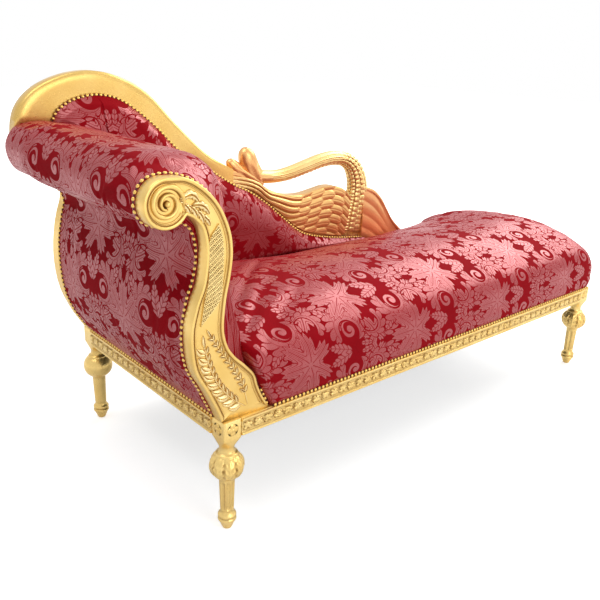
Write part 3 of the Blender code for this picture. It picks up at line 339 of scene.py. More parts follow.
def flower_motif():
    """Broad vine leaf: pointed lobes with toothed edges, shorter towards the stalk, and a vein up each."""
    tree, start, end = motif("damask_flower", ("Radius", "Petals", "Back"))
    place, radius, petals, back = start
    parts = add(tree, "SeparateXYZ", place).node.outputs
    out = add(tree, "VectorMath LENGTH", place, out="Value")
    left = add(tree, "Math MULTIPLY", parts[0], -1.0)
    side = add(tree, "Math ABSOLUTE", parts[1])
    angle = add(tree, "Math ARCTAN2", side, left)
    half = add(tree, "Math MULTIPLY", petals, 0.5)
    straight = add(tree, "Math MULTIPLY", angle, half)
    # the lobes sweep towards the leaf's tip
    bend = add(tree, "MapRange", angle, 0.0, 0.9, 0.0, 7.5)
    sweep = add(tree, "Math MULTIPLY", bend, out)
    turn = add(tree, "Math ADD", straight, sweep)
    swing = add(tree, "Math COSINE", turn)
    notch = add(tree, "Math ABSOLUTE", swing)
    round_petal = add(tree, "Math POWER", notch, 0.5)
    teeth_turn = add(tree, "Math MULTIPLY", turn, 5.0 / math.pi)
    teeth = add(tree, "Math PINGPONG", teeth_turn, 0.5)
    shorter = add(tree, "MapRange", angle, 0.6, 3.1, 0.0, back)
    longer = add(tree, "Math SUBTRACT", 0.36, shorter)
    petal_reach = add(tree, "Math MULTIPLY_ADD", round_petal, 0.53, longer)
    reach = add(tree, "Math MULTIPLY_ADD", teeth, 0.30, petal_reach)
    edge = add(tree, "Math MULTIPLY", reach, radius)
    depth = add(tree, "Math SUBTRACT", edge, out)
    wire(end, 0, depth)
    share = add(tree, "Math DIVIDE", out, radius)
    gap = add(tree, "Math MULTIPLY", notch, out)
    between = add(tree, "Math LESS_THAN", gap, 0.0068)
    sine = add(tree, "Math SINE", turn)
    sine_size = add(tree, "Math ABSOLUTE", sine)
    middle = add(tree, "Math MULTIPLY", sine_size, out)
    rib = add(tree, "Math LESS_THAN", middle, 0.0046)
    outer_ring = add(tree, "Math GREATER_THAN", share, 0.30)
    rib_ring = add(tree, "Math COMPARE", share, 0.45, 0.37)
    notch_ring = add(tree, "Math GREATER_THAN", share, 0.44)
    cut = add(tree, "Math MULTIPLY", between, notch_ring)
    rib_cut = add(tree, "Math MULTIPLY", rib, rib_ring)
    # shading lines run beside each vein, about 4 mm apart
    fan = add(tree, "Math MULTIPLY", middle, 72.0)
    strand = add(tree, "Math FRACT", fan)
    thin = add(tree, "Math LESS_THAN", strand, 0.27)
    kept = add(tree, "Math GREATER_THAN", depth, 0.0060)
    shading = add(tree, "Math MULTIPLY", thin, kept)
    shaded = add(tree, "Math MULTIPLY", shading, outer_ring)
    ribs = add(tree, "Math MAXIMUM", cut, rib_cut)
    lines = add(tree, "Math MAXIMUM", ribs, shaded)
    wire(end, 1, lines)
    return tree


def acanthus_motif():
    """Acanthus leaf bent along an arc, with lobes on one side and a midrib."""
    tree, start, end = motif("damask_acanthus", ("Radius", "Start", "Sweep", "Hand", "Width", "Side", "Lobes"))
    place, radius, first, sweep, hand, width, side, lobes = start
    parts = add(tree, "SeparateXYZ", place).node.outputs
    out = add(tree, "VectorMath LENGTH", place, out="Value")
    angle = add(tree, "Math ARCTAN2", parts[1], parts[0])
    since = add(tree, "Math SUBTRACT", angle, first)
    handed = add(tree, "Math MULTIPLY", since, hand)
    turned = add(tree, "Math WRAP", handed, math.tau - 1.0, -1.0)
    raw = add(tree, "Math DIVIDE", turned, sweep)
    share = add(tree, "Clamp", raw, 0.0, 1.0)
    grow = add(tree, "Math POWER", share, 0.7)
    left = add(tree, "Math SUBTRACT", 1.0, share)
    close = add(tree, "Math POWER", left, 0.4)
    body = add(tree, "Math MULTIPLY", grow, close)
    full = add(tree, "Math MULTIPLY", body, 1.75)
    broad = add(tree, "Math MULTIPLY", full, width)
    off = add(tree, "Math SUBTRACT", out, radius)
    across = add(tree, "Math MULTIPLY", off, side)
    lean = add(tree, "Math MULTIPLY", across, 28.0)
    count = add(tree, "Math MULTIPLY", share, lobes)
    place_on = add(tree, "Math SUBTRACT", count, lean)
    lobe_turn = add(tree, "Math MULTIPLY", place_on, math.pi)
    lobe_wave = add(tree, "Math SINE", lobe_turn)
    lobe = add(tree, "Math ABSOLUTE", lobe_wave)
    swell = add(tree, "Math POWER", lobe, 0.7)
    outer = add(tree, "Math MULTIPLY_ADD", swell, 0.70, 0.42)
    outer_edge = add(tree, "Math MULTIPLY", outer, broad)
    depth_out = add(tree, "Math SUBTRACT", outer_edge, across)
    depth_in = add(tree, "Math MULTIPLY_ADD", broad, 0.5, across)
    depth = add(tree, "Math MINIMUM", depth_out, depth_in)
    wire(end, 0, depth)
    near_rib = add(tree, "Math ABSOLUTE", across)
    rib = add(tree, "Math LESS_THAN", near_rib, 0.0011)
    notch = add(tree, "Math LESS_THAN", lobe, 0.26)
    past_rib = add(tree, "Math GREATER_THAN", across, 0.0024)
    cut = add(tree, "Math MULTIPLY", notch, past_rib)
    # shading lines run beside the midrib, about 3.5 mm apart
    fan = add(tree, "Math MULTIPLY", across, 285.0)
    strand = add(tree, "Math FRACT", fan)
    thin = add(tree, "Math LESS_THAN", strand, 0.26)
    kept = add(tree, "Math GREATER_THAN", depth, 0.0032)
    shading = add(tree, "Math MULTIPLY", thin, kept)
    ribs = add(tree, "Math MAXIMUM", rib, cut)
    lines = add(tree, "Math MAXIMUM", ribs, shading)
    wire(end, 1, lines)
    return tree


def tendril_motif():
    """Tendril that winds in to a bud."""
    tree, start, end = motif("damask_tendril", ("Radius", "Hand"))
    place, radius, hand = start
    parts = add(tree, "SeparateXYZ", place).node.outputs
    out = add(tree, "VectorMath LENGTH", place, out="Value")
    angle = add(tree, "Math ARCTAN2", parts[1], parts[0])
    turn = add(tree, "Math MULTIPLY", angle, hand)
    turns = add(tree, "Math DIVIDE", turn, math.tau)
    pitch = add(tree, "Math MULTIPLY", radius, 0.84)
    layers = add(tree, "Math DIVIDE", out, pitch)
    wound = add(tree, "Math ADD", layers, turns)
    part = add(tree, "Math FRACT", wound)
    off = add(tree, "Math SUBTRACT", part, 0.5)
    far = add(tree, "Math ABSOLUTE", off)
    spread = add(tree, "Math MULTIPLY", far, pitch)
    half = add(tree, "Math MULTIPLY", radius, 0.25)
    band = add(tree, "Math SUBTRACT", half, spread)
    rim = add(tree, "Math SUBTRACT", radius, out)
    wound_band = add(tree, "Math MINIMUM", band, rim)
    bud_size = add(tree, "Math MULTIPLY", radius, 0.34)
    bud = add(tree, "Math SUBTRACT", bud_size, out)
    depth = add(tree, "Math MAXIMUM", wound_band, bud)
    wire(end, 0, depth)
    wire(end, 1, 0.0)
    return tree


def leaflet_motif():
    """Small pointed leaf with a midrib and slanting veins."""
    tree, start, end = motif("damask_leaflet", ("Angle", "Length", "Width"))
    place, angle, length, width = start
    turned = add(tree, "VectorRotate", place, None, None, angle, rotation_type="Z_AXIS")
    parts = add(tree, "SeparateXYZ", turned).node.outputs
    share = add(tree, "Math DIVIDE", parts[0], length)
    square = add(tree, "Math MULTIPLY", share, share)
    left = add(tree, "Math SUBTRACT", 1.0, square)
    side = add(tree, "Math ABSOLUTE", parts[1])
    slant = add(tree, "Math MULTIPLY_ADD", side, 0.8, parts[0])
    wave = add(tree, "Math MULTIPLY", slant, 420.0)
    vein_wave = add(tree, "Math SINE", wave)
    toothed = add(tree, "Math MULTIPLY_ADD", vein_wave, 0.10, left)
    edge = add(tree, "Math MULTIPLY", toothed, width)
    depth = add(tree, "Math SUBTRACT", edge, side)
    wire(end, 0, depth)
    rib = add(tree, "Math LESS_THAN", side, 0.0011)
    slit = add(tree, "Math LESS_THAN", vein_wave, -0.76)
    veins = add(tree, "Math MAXIMUM", rib, slit)
    wire(end, 1, veins)
    return tree


# Leaves of one repeat from the back of the cloth to the front: motif, centre from the flower, and its sizes
# in the order of its group's sockets. Rows mirror about their own axis, so each off-axis leaf is drawn once.
MOTIFS = (
    ("acanthus", (0.262, 0.080), (0.060, -1.75, 2.10, 1.0, 0.0290, 1.0, 6.0)),
    ("flower", (0.240, 0.036), (0.050, 5.0, 0.20)),
    ("leaflet", (0.300, 0.044), (-0.75, 0.028, 0.0130)),
    ("leaflet", (0.205, 0.010), (0.15, 0.024, 0.0100)),
    ("acanthus", (0.152, 0.060), (0.042, -0.95, 4.75, 1.0, 0.0350, 1.0, 9.0)),
    ("tendril", (0.156, 0.060), (0.0250, 1.0)),
    ("leaflet", (0.112, 0.015), (0.30, 0.044, 0.0160)),
    ("acanthus", (0.040, 0.100), (0.034, 2.6, 3.60, -1.0, 0.0210, 1.0, 6.0)),
    ("flower", (0.004, 0.0), (0.097, 7.0, 0.20)),
)


def damask():
    """Two-colour silk damask: satin leaves catch the light pale against a matt crimson ground."""
    material, tree, shader = new_finish(
        "silk_damask", 0.5, Specular_IOR_Level=0.22, Specular_Tint=colour("#FF9AA4"), Coat_IOR=1.7,
        Coat_Roughness=0.36, Sheen_Weight=0.05, Sheen_Roughness=0.4, Sheen_Tint=colour("#D02838"))
    groups = {"flower": flower_motif(), "acanthus": acanthus_motif(),
              "tendril": tendril_motif(), "leaflet": leaflet_motif()}
    spot = add(tree, "UVMap", uv_map="cloth")
    parts = add(tree, "SeparateXYZ", spot).node.outputs
    row = add(tree, "Math WRAP", parts[1], HALF_ROW, -HALF_ROW)
    own = add(tree, "Math ABSOLUTE", row)
    next_row = add(tree, "Math SUBTRACT", HALF_ROW, own)
    dropped = add(tree, "Math SUBTRACT", parts[0], REPEAT / 2)
    rows = add(tree, "CombineXYZ", parts[0], own), add(tree, "CombineXYZ", dropped, next_row)
    depth, vein = -1.0, 0.0
    for kind, centre, sizes in MOTIFS:
        for where in rows:
            away = add(tree, "VectorMath SUBTRACT", where, (*centre, 0.0))
            near = add(tree, "VectorMath WRAP", away, (REPEAT / 2, 9.0, 1.0), (-REPEAT / 2, -9.0, -1.0))
            leaf = add(tree, "Group", near, *sizes, node_tree=groups[kind]).node.outputs
            over = add(tree, "Math GREATER_THAN", leaf[0], -LEAF_RIM)
            depth = add(tree, "Mix", over, None, depth, leaf[0])
            vein = add(tree, "Mix", over, None, vein, leaf[1])
    satin = add(tree, "MapRange", depth, 0.0012, 0.0021)
    grain = add(tree, "TexVoronoi", spot, None, 230.0)
    dots = add(tree, "Math LESS_THAN", grain, 0.19)
    lines = add(tree, "Math MAXIMUM", vein, dots)
    drawn = add(tree, "Math SUBTRACT", 1.0, lines)
    lit = add(tree, "MapRange", drawn, 0.0, 1.0, 0.22, 1.0)
    figure = add(tree, "Math MULTIPLY", satin, lit)
    # silk threads are about 0.2 mm apart, and are drawn 2.4 and 3.5 mm apart so that they show
    weave = add(tree, "TexWave", spot, 130.0, bands_direction="X", out=1)
    weft = add(tree, "TexWave", spot, 90.0, bands_direction="Y", out=1)
    cloud = add(tree, "TexNoise", spot, None, 9.0, 3.0)
    ground = add(tree, "Mix", cloud, *UNUSED, colour("#7E020C"), colour("#9A0614"), **COLOURED)
    leaves = add(tree, "Mix", weave, *UNUSED, colour("#963638"), colour("#AC4447"), **COLOURED)
    wire(shader, "Base Color", add(tree, "Mix", figure, *UNUSED, ground, leaves, **COLOURED))
    wire(shader, "Roughness", add(tree, "MapRange", figure, 0.0, 1.0, 0.92, 0.40))
    # the long floats of the satin mirror the light, some of it in the cloth's own colour
    wire(shader, "Metallic", add(tree, "Math MULTIPLY", figure, 0.30))
    wire(shader, "Coat Weight", add(tree, "Math MULTIPLY", figure, 0.58))
    relief = add(tree, "Math MULTIPLY", weft, weave)
    wire(shader, "Normal", add(tree, "Bump", 0.25, 0.0002, None, relief))
    return material


def gilt(name, base, bright, deep, roughness, toned=None, between=(0.0, 1.0), open_from=0.38, open_to=0.96):
    """Burnished gold leaf on carved wood, with painted shade that browns its hollows, found by ambient occlusion; the
    rounds keep the leaf's own tone.
    A toned leaf warms along the swan, between two places in x."""
    material, tree, shader = new_finish(name, roughness, metallic=0.75)
    spot = add(tree, "TexCoord", out="Object")
    # painted shade: where ambient occlusion finds a hollow, the colour turns from the leaf's tone to the deep colour
    hollow = add(tree, "AmbientOcclusion", None, 0.016, samples=4, only_local=True, out="AO")
    shade = add(tree, "MapRange", hollow, open_from, open_to)
    # leaf is laid in squares of about 80 mm, and its tone drifts from one to the next
    drift = add(tree, "TexNoise", spot, None, 14.0, 2.0)
    tone = add(tree, "Mix", drift, *UNUSED, colour(base), colour(bright), **COLOURED)
    if toned:
        along = add(tree, "SeparateXYZ", spot)
        warmth = add(tree, "MapRange", along, *between)
        tone = add(tree, "Mix", warmth, *UNUSED, tone, colour(toned), **COLOURED)
    wire(shader, "Base Color", add(tree, "Mix", shade, *UNUSED, colour(deep), tone, **COLOURED))
    # burnishing strokes, 2 to 3 mm wide
    strokes = add(tree, "TexNoise", spot, None, 380.0, 2.0)
    wire(shader, "Roughness", add(tree, "MapRange", strokes, 0.3, 0.7, roughness - 0.06, roughness + 0.10))
    uneven = add(tree, "TexNoise", spot, None, 120.0, 3.0)
    wire(shader, "Normal", add(tree, "Bump", 0.22, 0.0008, None, uneven))
    return material


def plain(name, low, high, roughness, scale, depth, stretch=(1, 1, 1), metallic=0.0):
    """Two tones mixed by a stretched grain, with the same grain as relief."""
    material, tree, shader = new_finish(name, roughness, metallic=metallic)
    spot = add(tree, "TexCoord", out="Object")
    long = add(tree, "VectorMath MULTIPLY", spot, stretch)
    grain = add(tree, "TexNoise", long, None, scale, 4.0)
    tone = add(tree, "Mix", grain, *UNUSED, colour(low), colour(high), **COLOURED)
    wire(shader, "Base Color", tone)
    wire(shader, "Normal", add(tree, "Bump", 0.4, depth, None, grain))
    return material


# Red silk: its matt ground soaks the light up, and its satin leaves give it back pale
silk = damask()
# Warm yellow gold with brown painted shade in its hollows: the volute panel and the rosettes
gold_leaf = gilt("burnished_gold_leaf", "#DCB25A", "#EFCF84", "#8F5F24", 0.34)
# Pale smooth gold on the swan's neck and breast, warmer where it turns to the head
neck_leaf = gilt("pale_gold_leaf", "#EAC274", "#F8DE9C", "#96602A", 0.32, "#E8B070", (0.02, -0.14))
# Gold with copper painted shade between the feathers, which keeps them apart
wing_leaf = gilt("toned_gold_leaf", "#E8BE6C", "#F6D698", "#B27A3C", 0.34, "#EEBE78", (-0.16, 0.02))
# Reddest of the golds, where the red ground under the leaf shows through on the tail
tail_leaf = gilt("red_gold_leaf", "#EAA866", "#F4BC84", "#C07440", 0.36)
# Rails and legs: strong painted shade, deep brown in the hollows round bright ridges, so that the small leaves read
# from a distance
rail_leaf = gilt("toned_rail_leaf", "#E2B860", "#F8DE98", "#7E5420", 0.32, open_from=0.52, open_to=0.92)
# Lightest and glossiest gold, for the sprays that stand out from the panel
bright_leaf = gilt("rubbed_gold_leaf", "#EACB80", "#FAE9B8", "#B88A44", 0.30)
# Quieter, satiny gold of the plain crest, warmer towards the swan
crest_leaf = gilt("satin_gold_leaf", "#CDA552", "#E4C276", "#8F5F24", 0.32, "#E4B464", (-0.36, -0.22))
# Small punched pattern: light beads over a ground darkened by painted shade
diaper_leaf = gilt("punched_gold_leaf", "#D2B068", "#F0D898", "#7E5C24", 0.30, open_from=0.50, open_to=0.95)
# Polished nail heads with a sharp glint each
brass = plain("brass_nail", "#C89A45", "#E8C878", 0.30, 300.0, 0.0002, metallic=1.0)
# Painted shadow under the nails, where the cloth is turned in
nail_shadow_finish = plain("painted_nail_shadow", "#3A140E", "#54241A", 0.85, 500.0, 0.0003)
# Pale wood of the inner frame with its long grain
beech = plain("planed_beech", "#B98F63", "#D2AC80", 0.62, 60.0, 0.0004, (1.0, 1.0, 12.0))
# Coarse dull webbing and hessian
jute = plain("woven_jute", "#8D6F48", "#B59468", 0.95, 700.0, 0.0006)
# Black dust cover that keeps the underside dark
cambric = plain("black_cambric", "#17161A", "#26252A", 0.92, 900.0, 0.0003)


# Pieces

def inset(outline, depth):
    """An anticlockwise outline moved inwards, without the places where it would cross itself."""
    way = np.roll(outline, -1, 0) - np.roll(outline, 1, 0)
    line = outline + left_of(way) / np.linalg.norm(way, axis=1)[:, None] * depth
    return line[distance(line, np.vstack([outline, outline[:1]])) > depth - 1e-4]


def plate(name, outline, spacing, front, rear, finish, cloth=None, sharp=40, insets=()):
    """Solid over an outline in x and z. Its front and rear faces are functions of place."""
    low, high = outline.min(0), outline.max(0)
    across = np.arange(low[0] + spacing / 2, high[0], spacing)
    up = np.arange(low[1] + spacing / 2, high[1], spacing * 0.87)
    grid = np.array([(x + (spacing / 2 if k % 2 else 0), z) for k, z in enumerate(up) for x in across])
    loop = np.vstack([outline, outline[:1]])
    inside = np.zeros(len(grid), bool)
    for a, b in zip(loop, loop[1:]):
        crosses = (a[1] > grid[:, 1]) != (b[1] > grid[:, 1])
        at = (b[0] - a[0]) * (grid[:, 1] - a[1]) / (b[1] - a[1] if b[1] != a[1] else 1e-9) + a[0]
        inside ^= crosses & (grid[:, 0] < at)
    near = distance(grid, loop)
    edges = np.min([np.abs(near - depth) for depth in (0.0, *insets)], 0)
    grid = grid[inside & (edges > spacing * 0.45)]
    places = np.vstack([outline, *[inset(outline, depth) for depth in insets], grid])
    found, _, faces, *_ = delaunay_2d_cdt([Vector(p) for p in places], [], [list(range(len(outline)))], 1, 1e-6)
    flat = np.array([tuple(p) for p in found])
    near = distance(flat, loop)
    sheets = [grid_of(flat[:, 0], face(flat, near), flat[:, 1]) for face in (front, rear)]
    points, solid = slab(*sheets, [list(face) for face in faces])
    return dress(name, points, solid, finish, sharp, marks=np.vstack([cloth(flat)] * 2) if cloth else None)


def rounded(near, radius):
    """How far a face has dropped at a rounded edge."""
    t = np.clip(1 - near / radius, 0, 1)
    return radius * (1 - np.sqrt(1 - t * t))


# Seat

SEAT_SECTION = mm((-23.5, 0.3), (-32.5, 40), (-37, 80), (-34.5, 113), (-22.5, 142), (2, 166), (44, 188), (100, 207),
                  (180, 222), (265, 226), (350, 221), (450, 203), (540, 174), (610, 143), (640, 118), (650, 80),
                  (650, 5.2))
SEAT_END = LEG_SPAN + HALF_BLOCK - 0.002
ARM_FOOT = mm((47, 262), (47, 200), (50, 165), (58, 130), (71, 98), (81, 67), (94, 37), (114.5, 5.2))
CLOTH_SKEW = 0.15       # the cloth was nailed down a little off its thread
CLOTH_AXIS = 0.2475     # from the front edge to a row of flowers
CLOTH_FLOWER = 0.40     # a flower of that row, from the head leg


def arm_foot_line(z):
    """How far forward the arm's cover comes at each height over the seat rail."""
    return np.interp(np.clip(z, 0.0, 0.24), ARM_FOOT[::-1, 1], ARM_FOOT[::-1, 0])


def seat_back_line(x):
    """Rear edge of the seat: along the inside back, before the tail and along the back rail."""
    before_tail = FRAME_FRONT - 0.0065
    middle = blend(0.650, before_tail, ease(x, BREAST_EDGE, BREAST_EDGE + 0.05))
    return blend(middle, BACK_FACE - 0.0035, ease(x, TAIL_END + 0.012, TAIL_END + 0.045))


def seat_top(x, section):
    """Points of the seat's cover at nominal stations x, one row each."""
    from_end = SEAT_END - x
    height = np.interp(from_end, (0.002, 0.012, 0.030, 0.055, 0.10, 0.18, 0.30, 0.45),
                       (0.56, 0.77, 0.89, 0.963, 0.998, 1.000, 0.986, 0.98))
    corner = np.interp(from_end, (0.002, 0.012, 0.030, 0.055, 0.10), (0.018, 0.009, 0.003, 0.001, 0.0))
    y, z = section[:, 0][None, :], section[:, 1][None, :]
    high = np.where(z > 0.0104, CLEAR + (z - CLEAR) * height[:, None], z)
    pulled_down = (ease(x, 0.30, 0.65) * (1 - ease(x, 1.24, 1.55)))[:, None]
    high = high - 0.021 * pulled_down * ease(y, 0.20, 0.48) * ease(z, 0.02, 0.12)
    here = x[:, None] + (arm_foot_line(z) + 0.0018) * (1 - ease(x, 0, 0.25))[:, None]
    here = here + 0.022 * ease(high, 0.0, 0.06) * ease(x, SEAT_END - 0.10, SEAT_END)[:, None]
    share = (y - section[0, 0]) / (section[-1, 0] - section[0, 0])
    deep = y + (seat_back_line(here) - section[-1, 0]) * ease(share, 0.5, 1.0)
    deep = deep + corner[:, None] * (1 - 2 * ease(share, 0.3, 0.7)) * (0.4 + 0.6 * ease(high, 0.0, 0.05))
    beside_panel = blend(SCROLL_FRONT + 0.003, -1.0, ease(x, 0.0, 0.012))[:, None]
    rounded_in = blend(SCROLL_REAR, -0.040, np.sqrt(np.clip(x / 0.085, 0, 1)))[:, None]
    rounded_in = np.where(x[:, None] < 0.085, rounded_in, -1.0)
    deep = np.maximum(deep, blend(beside_panel, np.maximum(rounded_in, beside_panel), ease(high, 0.085, 0.140)))
    return grid_of(here, deep, high)


def seat_cushion():
    """Crowned seat: damask over foam, pulled down and nailed along the rails."""
    section = smooth(SEAT_SECTION, 92)
    run = run_length(section)
    x = np.unique(np.r_[np.linspace(0, 0.1, 14), np.linspace(0.1, SEAT_END - 0.12, 128),
                        SEAT_END - np.geomspace(0.12, 0.002, 22)])
    top = seat_top(x, section)
    cloth_top = grid_of(top[..., 0] - CLOTH_FLOWER + CLOTH_SKEW * (run - CLOTH_AXIS), run - CLOTH_AXIS)
    sheets, cloth = [top], [cloth_top]
    half = len(section) // 2
    t = np.linspace(0, 1, 25)[None, :, None]
    rise = np.linspace(0, 1, half)[:, None]
    for k, bulge in ((0, 0.0), (-1, 0.006)):
        face = blend(top[k, :half, None], top[k, ::-1][:half, None], t)
        face[..., 0] += bulge * hump(t[..., 0], 0.6) * hump(rise ** 0.7, 0.6)
        spread = blend(cloth_top[k, :half, None], cloth_top[k, ::-1][:half, None], t)
        spread[..., 0] += top[k, half, 2] - face[..., 2]
        sheets.append(face)
        cloth.append(spread)
    under = blend(top[:, :1], top[:, -1:], np.linspace(0, 1, 9)[None, :, None])
    item = piece("seat_cushion", [*sheets, under], silk, [*cloth, np.zeros(under.shape[:2] + (2,))], sharp=0)
    swell(item, seat_free, 0.0, 0.008)
    return item


def seat_free(x, y, z):
    """The seat is free over its crown, and held at the rails, the arm and the back."""
    return ease(z, 0.006, 0.055) * ease(x - arm_foot_line(z), 0.004, 0.060) * ease(
        seat_back_line(x) - y, 0.004, 0.055)


# Arm

ARM_FRONT = mm((-23.5, 0.3), (-40, 33), (-64, 85), (-96, 150), (-105, 225), (-92, 297), (-72, 350), (-63, 410),
               (-76, 460), (-110, 480), (-152, 474), (-190, 492), (-203, 530), (-184, 568), (-144, 580), (-98, 572),
               (-50, 545), (-12, 500), (8, 450), (14, 390), (18, 320), (30, 255))
ARM_FULL = mm((-23.5, 0.3), (-45, 35), (-68, 80), (-92, 140), (-102, 215), (-95, 300), (-78, 365), (-70, 415),
              (-94, 455), (-138, 471), (-180, 487), (-206, 518), (-212, 552), (-192, 588), (-140, 604), (-72, 603),
              (-6, 590), (38, 560), (56, 508), (50, 430), (40, 340), (42, 262))
ARM_BACK = mm((-23.5, 0.3), (-45, 33), (-68, 75), (-88, 130), (-97, 200), (-96, 285), (-82, 360), (-73, 405),
              (-100, 450), (-145, 471), (-190, 492), (-210, 526), (-211, 566), (-184, 603), (-130, 615), (-63, 606),
              (-12, 590), (30, 563), (46, 510), (46, 430), (46, 340), (46, 262))
ARM_FIRST = SCROLL_REAR + CLEAR
ARM_LAST = FRAME_FRONT - CLEAR
ARM_SETTLED = FRAME_FRONT - 0.068
ARM_CLOTH_START = 0.4065     # a leaf of the cloth is centred here
ARM_CLOTH_AXIS = 0.112       # and here across the arm


def arm_section(y):
    """Section of the arm at one depth, from the head rail over the roll and down to the seat."""
    filled = float(ease(y, ARM_FIRST, ARM_FIRST + 0.11)) ** 0.6
    settled = float(ease(y, LEG_DEPTH * 0.60, ARM_SETTLED))
    points = blend(blend(ARM_FRONT, ARM_FULL, filled), ARM_BACK, settled)
    return curve(np.vstack([points, ARM_FOOT[1:]]), 7)


ARM_FOLDS = ((0.470, 0.560, 0.070, 1.15, 0.0042), (0.485, 0.515, 0.085, 0.85, 0.0036),
             (0.480, 0.455, 0.060, 0.55, 0.0032), (0.450, 0.395, 0.075, 0.20, 0.0026),
             (0.470, 0.330, 0.055, -0.15, 0.0024), (0.455, 0.250, 0.065, 0.10, 0.0026),
             (0.470, 0.170, 0.050, -0.45, 0.0028), (0.700, 0.560, 0.060, 1.35, 0.0030),
             (0.770, 0.110, 0.055, -1.05, 0.0026), (0.640, 0.090, 0.050, -1.25, 0.0026),
             (0.300, 0.520, 0.090, 0.30, 0.0024), (0.260, 0.120, 0.070, -0.25, 0.0022))


def arm_folds(run, y):
    """Soft folds where the cloth is pulled in under the roll: place, half length, slant and depth of each."""
    total = 0.0
    for at_run, at_y, half, slant, deep in ARM_FOLDS:
        along = (run - at_run) * math.cos(slant) + (y - at_y) * math.sin(slant)
        across = ((run - at_run) * -math.sin(slant) + (y - at_y) * math.cos(slant)) / 0.0085
        fade = np.clip(1 - (along / half) ** 2, 0, 1) ** 1.5
        total = total - deep * fade * (1 - across ** 2) * np.exp(-across ** 2 / 1.4)
    slack = 0.0012 * ripple((run, y, 0.0), 0.55, 2.0)
    return (total + slack) * ease(y, ARM_FIRST + 0.012, ARM_FIRST + 0.045) * ease(
        ARM_LAST - y, 0.012, 0.035) * ease(run, 0.02, 0.08) * (1 - ease(run, 0.90, 0.98))


def arm_cushion():
    """Outside of the head end, its roll and its inside in one cloth."""
    depths = np.unique(np.r_[ARM_FIRST + np.linspace(0, 0.12, 22), np.linspace(ARM_FIRST + 0.12, ARM_LAST, 110)])
    rows = [arm_section(y) for y in depths]
    run = run_length(rows[len(rows) // 2])
    grid = np.array([np.insert(row, 1, y, axis=1) for row, y in zip(rows, depths)])
    way = heading(grid, 1)
    out = grid_of(-way[..., 2], 0, way[..., 0])
    grid = grid + out * arm_folds(run[None, :], depths[:, None])[..., None]
    cloth = grid_of(ARM_CLOTH_START - run, (depths - ARM_CLOTH_AXIS)[:, None])
    under = blend(grid[:, :1], grid[:, -1:], np.linspace(0, 1, 5)[None, :, None])
    item = piece("arm_cushion", [grid, under], silk, [cloth, np.zeros((len(depths), 5, 2))], sharp=65, fill=True)
    swell(item, arm_free, 0.02, 0.007)
    return item


def arm_free(x, y, z):
    """The arm's cloth is free between the two scroll panels, and held at the rail and where the seat meets it."""
    low = blend(0.004, 0.262, ease(x, 0.0, 0.02))
    return ease(z - low, 0.0, 0.05) * ease(y, ARM_FIRST + 0.003, ARM_FIRST + 0.06) * ease(ARM_LAST - y, 0.060, 0.11)


# Back

CREST_OUTER = mm((-140, 500), (-176, 530), (-188, 580), (-170, 648), (-115, 700), (-22, 733), (76, 733), (190, 684),
                 (283, 594), (385, 500), (472, 447), (500, 434))
CREST_INNER = mm((-85, 500), (-80, 550), (-73, 600), (-50, 635), (-10, 656), (40, 663), (95, 652), (150, 616),
                 (205, 570), (275, 505), (360, 440), (500, 368))
BACK_EDGE_LINE = mm((-94, 600), (-88, 614), (-73, 640), (-40, 662), (0, 675), (45, 679), (100, 668), (155, 636),
                    (219, 584), (298, 508), (410, 438), (500, 384), (558, 357), (632, 309), (671, 277), (718, 239),
                    (767, 200), (816, 174), (893, 153), (985, 136), (1082, 124), (1122, 121))
OUTSIDE_LEFT = mm((-13, 4), (-48, 60), (-76, 130), (-87, 200), (-86, 270), (-73, 345), (-56, 400), (-56, 440),
                  (-78, 500), (-92, 560), (-94, 596))
BACK_CLOTH_START = 0.234     # height of a leaf's middle over the rails
BACK_CLOTH_AXIS = 0.558      # and its place along the back


def back_foot(x):
    """Where the inside back starts: on the arm's roll, on the arm's foot or on the seat frame."""
    section = arm_section(ARM_LAST)
    crown = int(section[:, 1].argmax())
    flank = int(np.where(section[:, 1] > 0.25, section[:, 0], -1).argmax())
    edge = section[crown:flank + 1]
    over_roll = np.interp(x, edge[:, 0], edge[:, 1])
    over_foot = np.interp(x, ARM_FOOT[1:, 0] + 0.0012, ARM_FOOT[1:, 1])
    return np.where(x < edge[-1, 0], over_roll, over_foot)


def back_depth(x, z, from_top):
    """How far the inside back stands out. Its last 25 mm turn down to the nails."""
    from_side = np.minimum(x + 0.094, BREAST_EDGE + 0.018 - x)
    fullness = np.minimum(ease(from_top, -0.02, 0.10), ease(from_side, -0.02, 0.10))
    depth = np.minimum(blend(0.004, 0.055, np.sqrt(fullness)), blend(0.0235, 0.055, ease(z, 0.108, 0.138)))
    return 0.004 + (depth - 0.004) * np.sqrt(np.clip(from_top / 0.025, 0, 1))


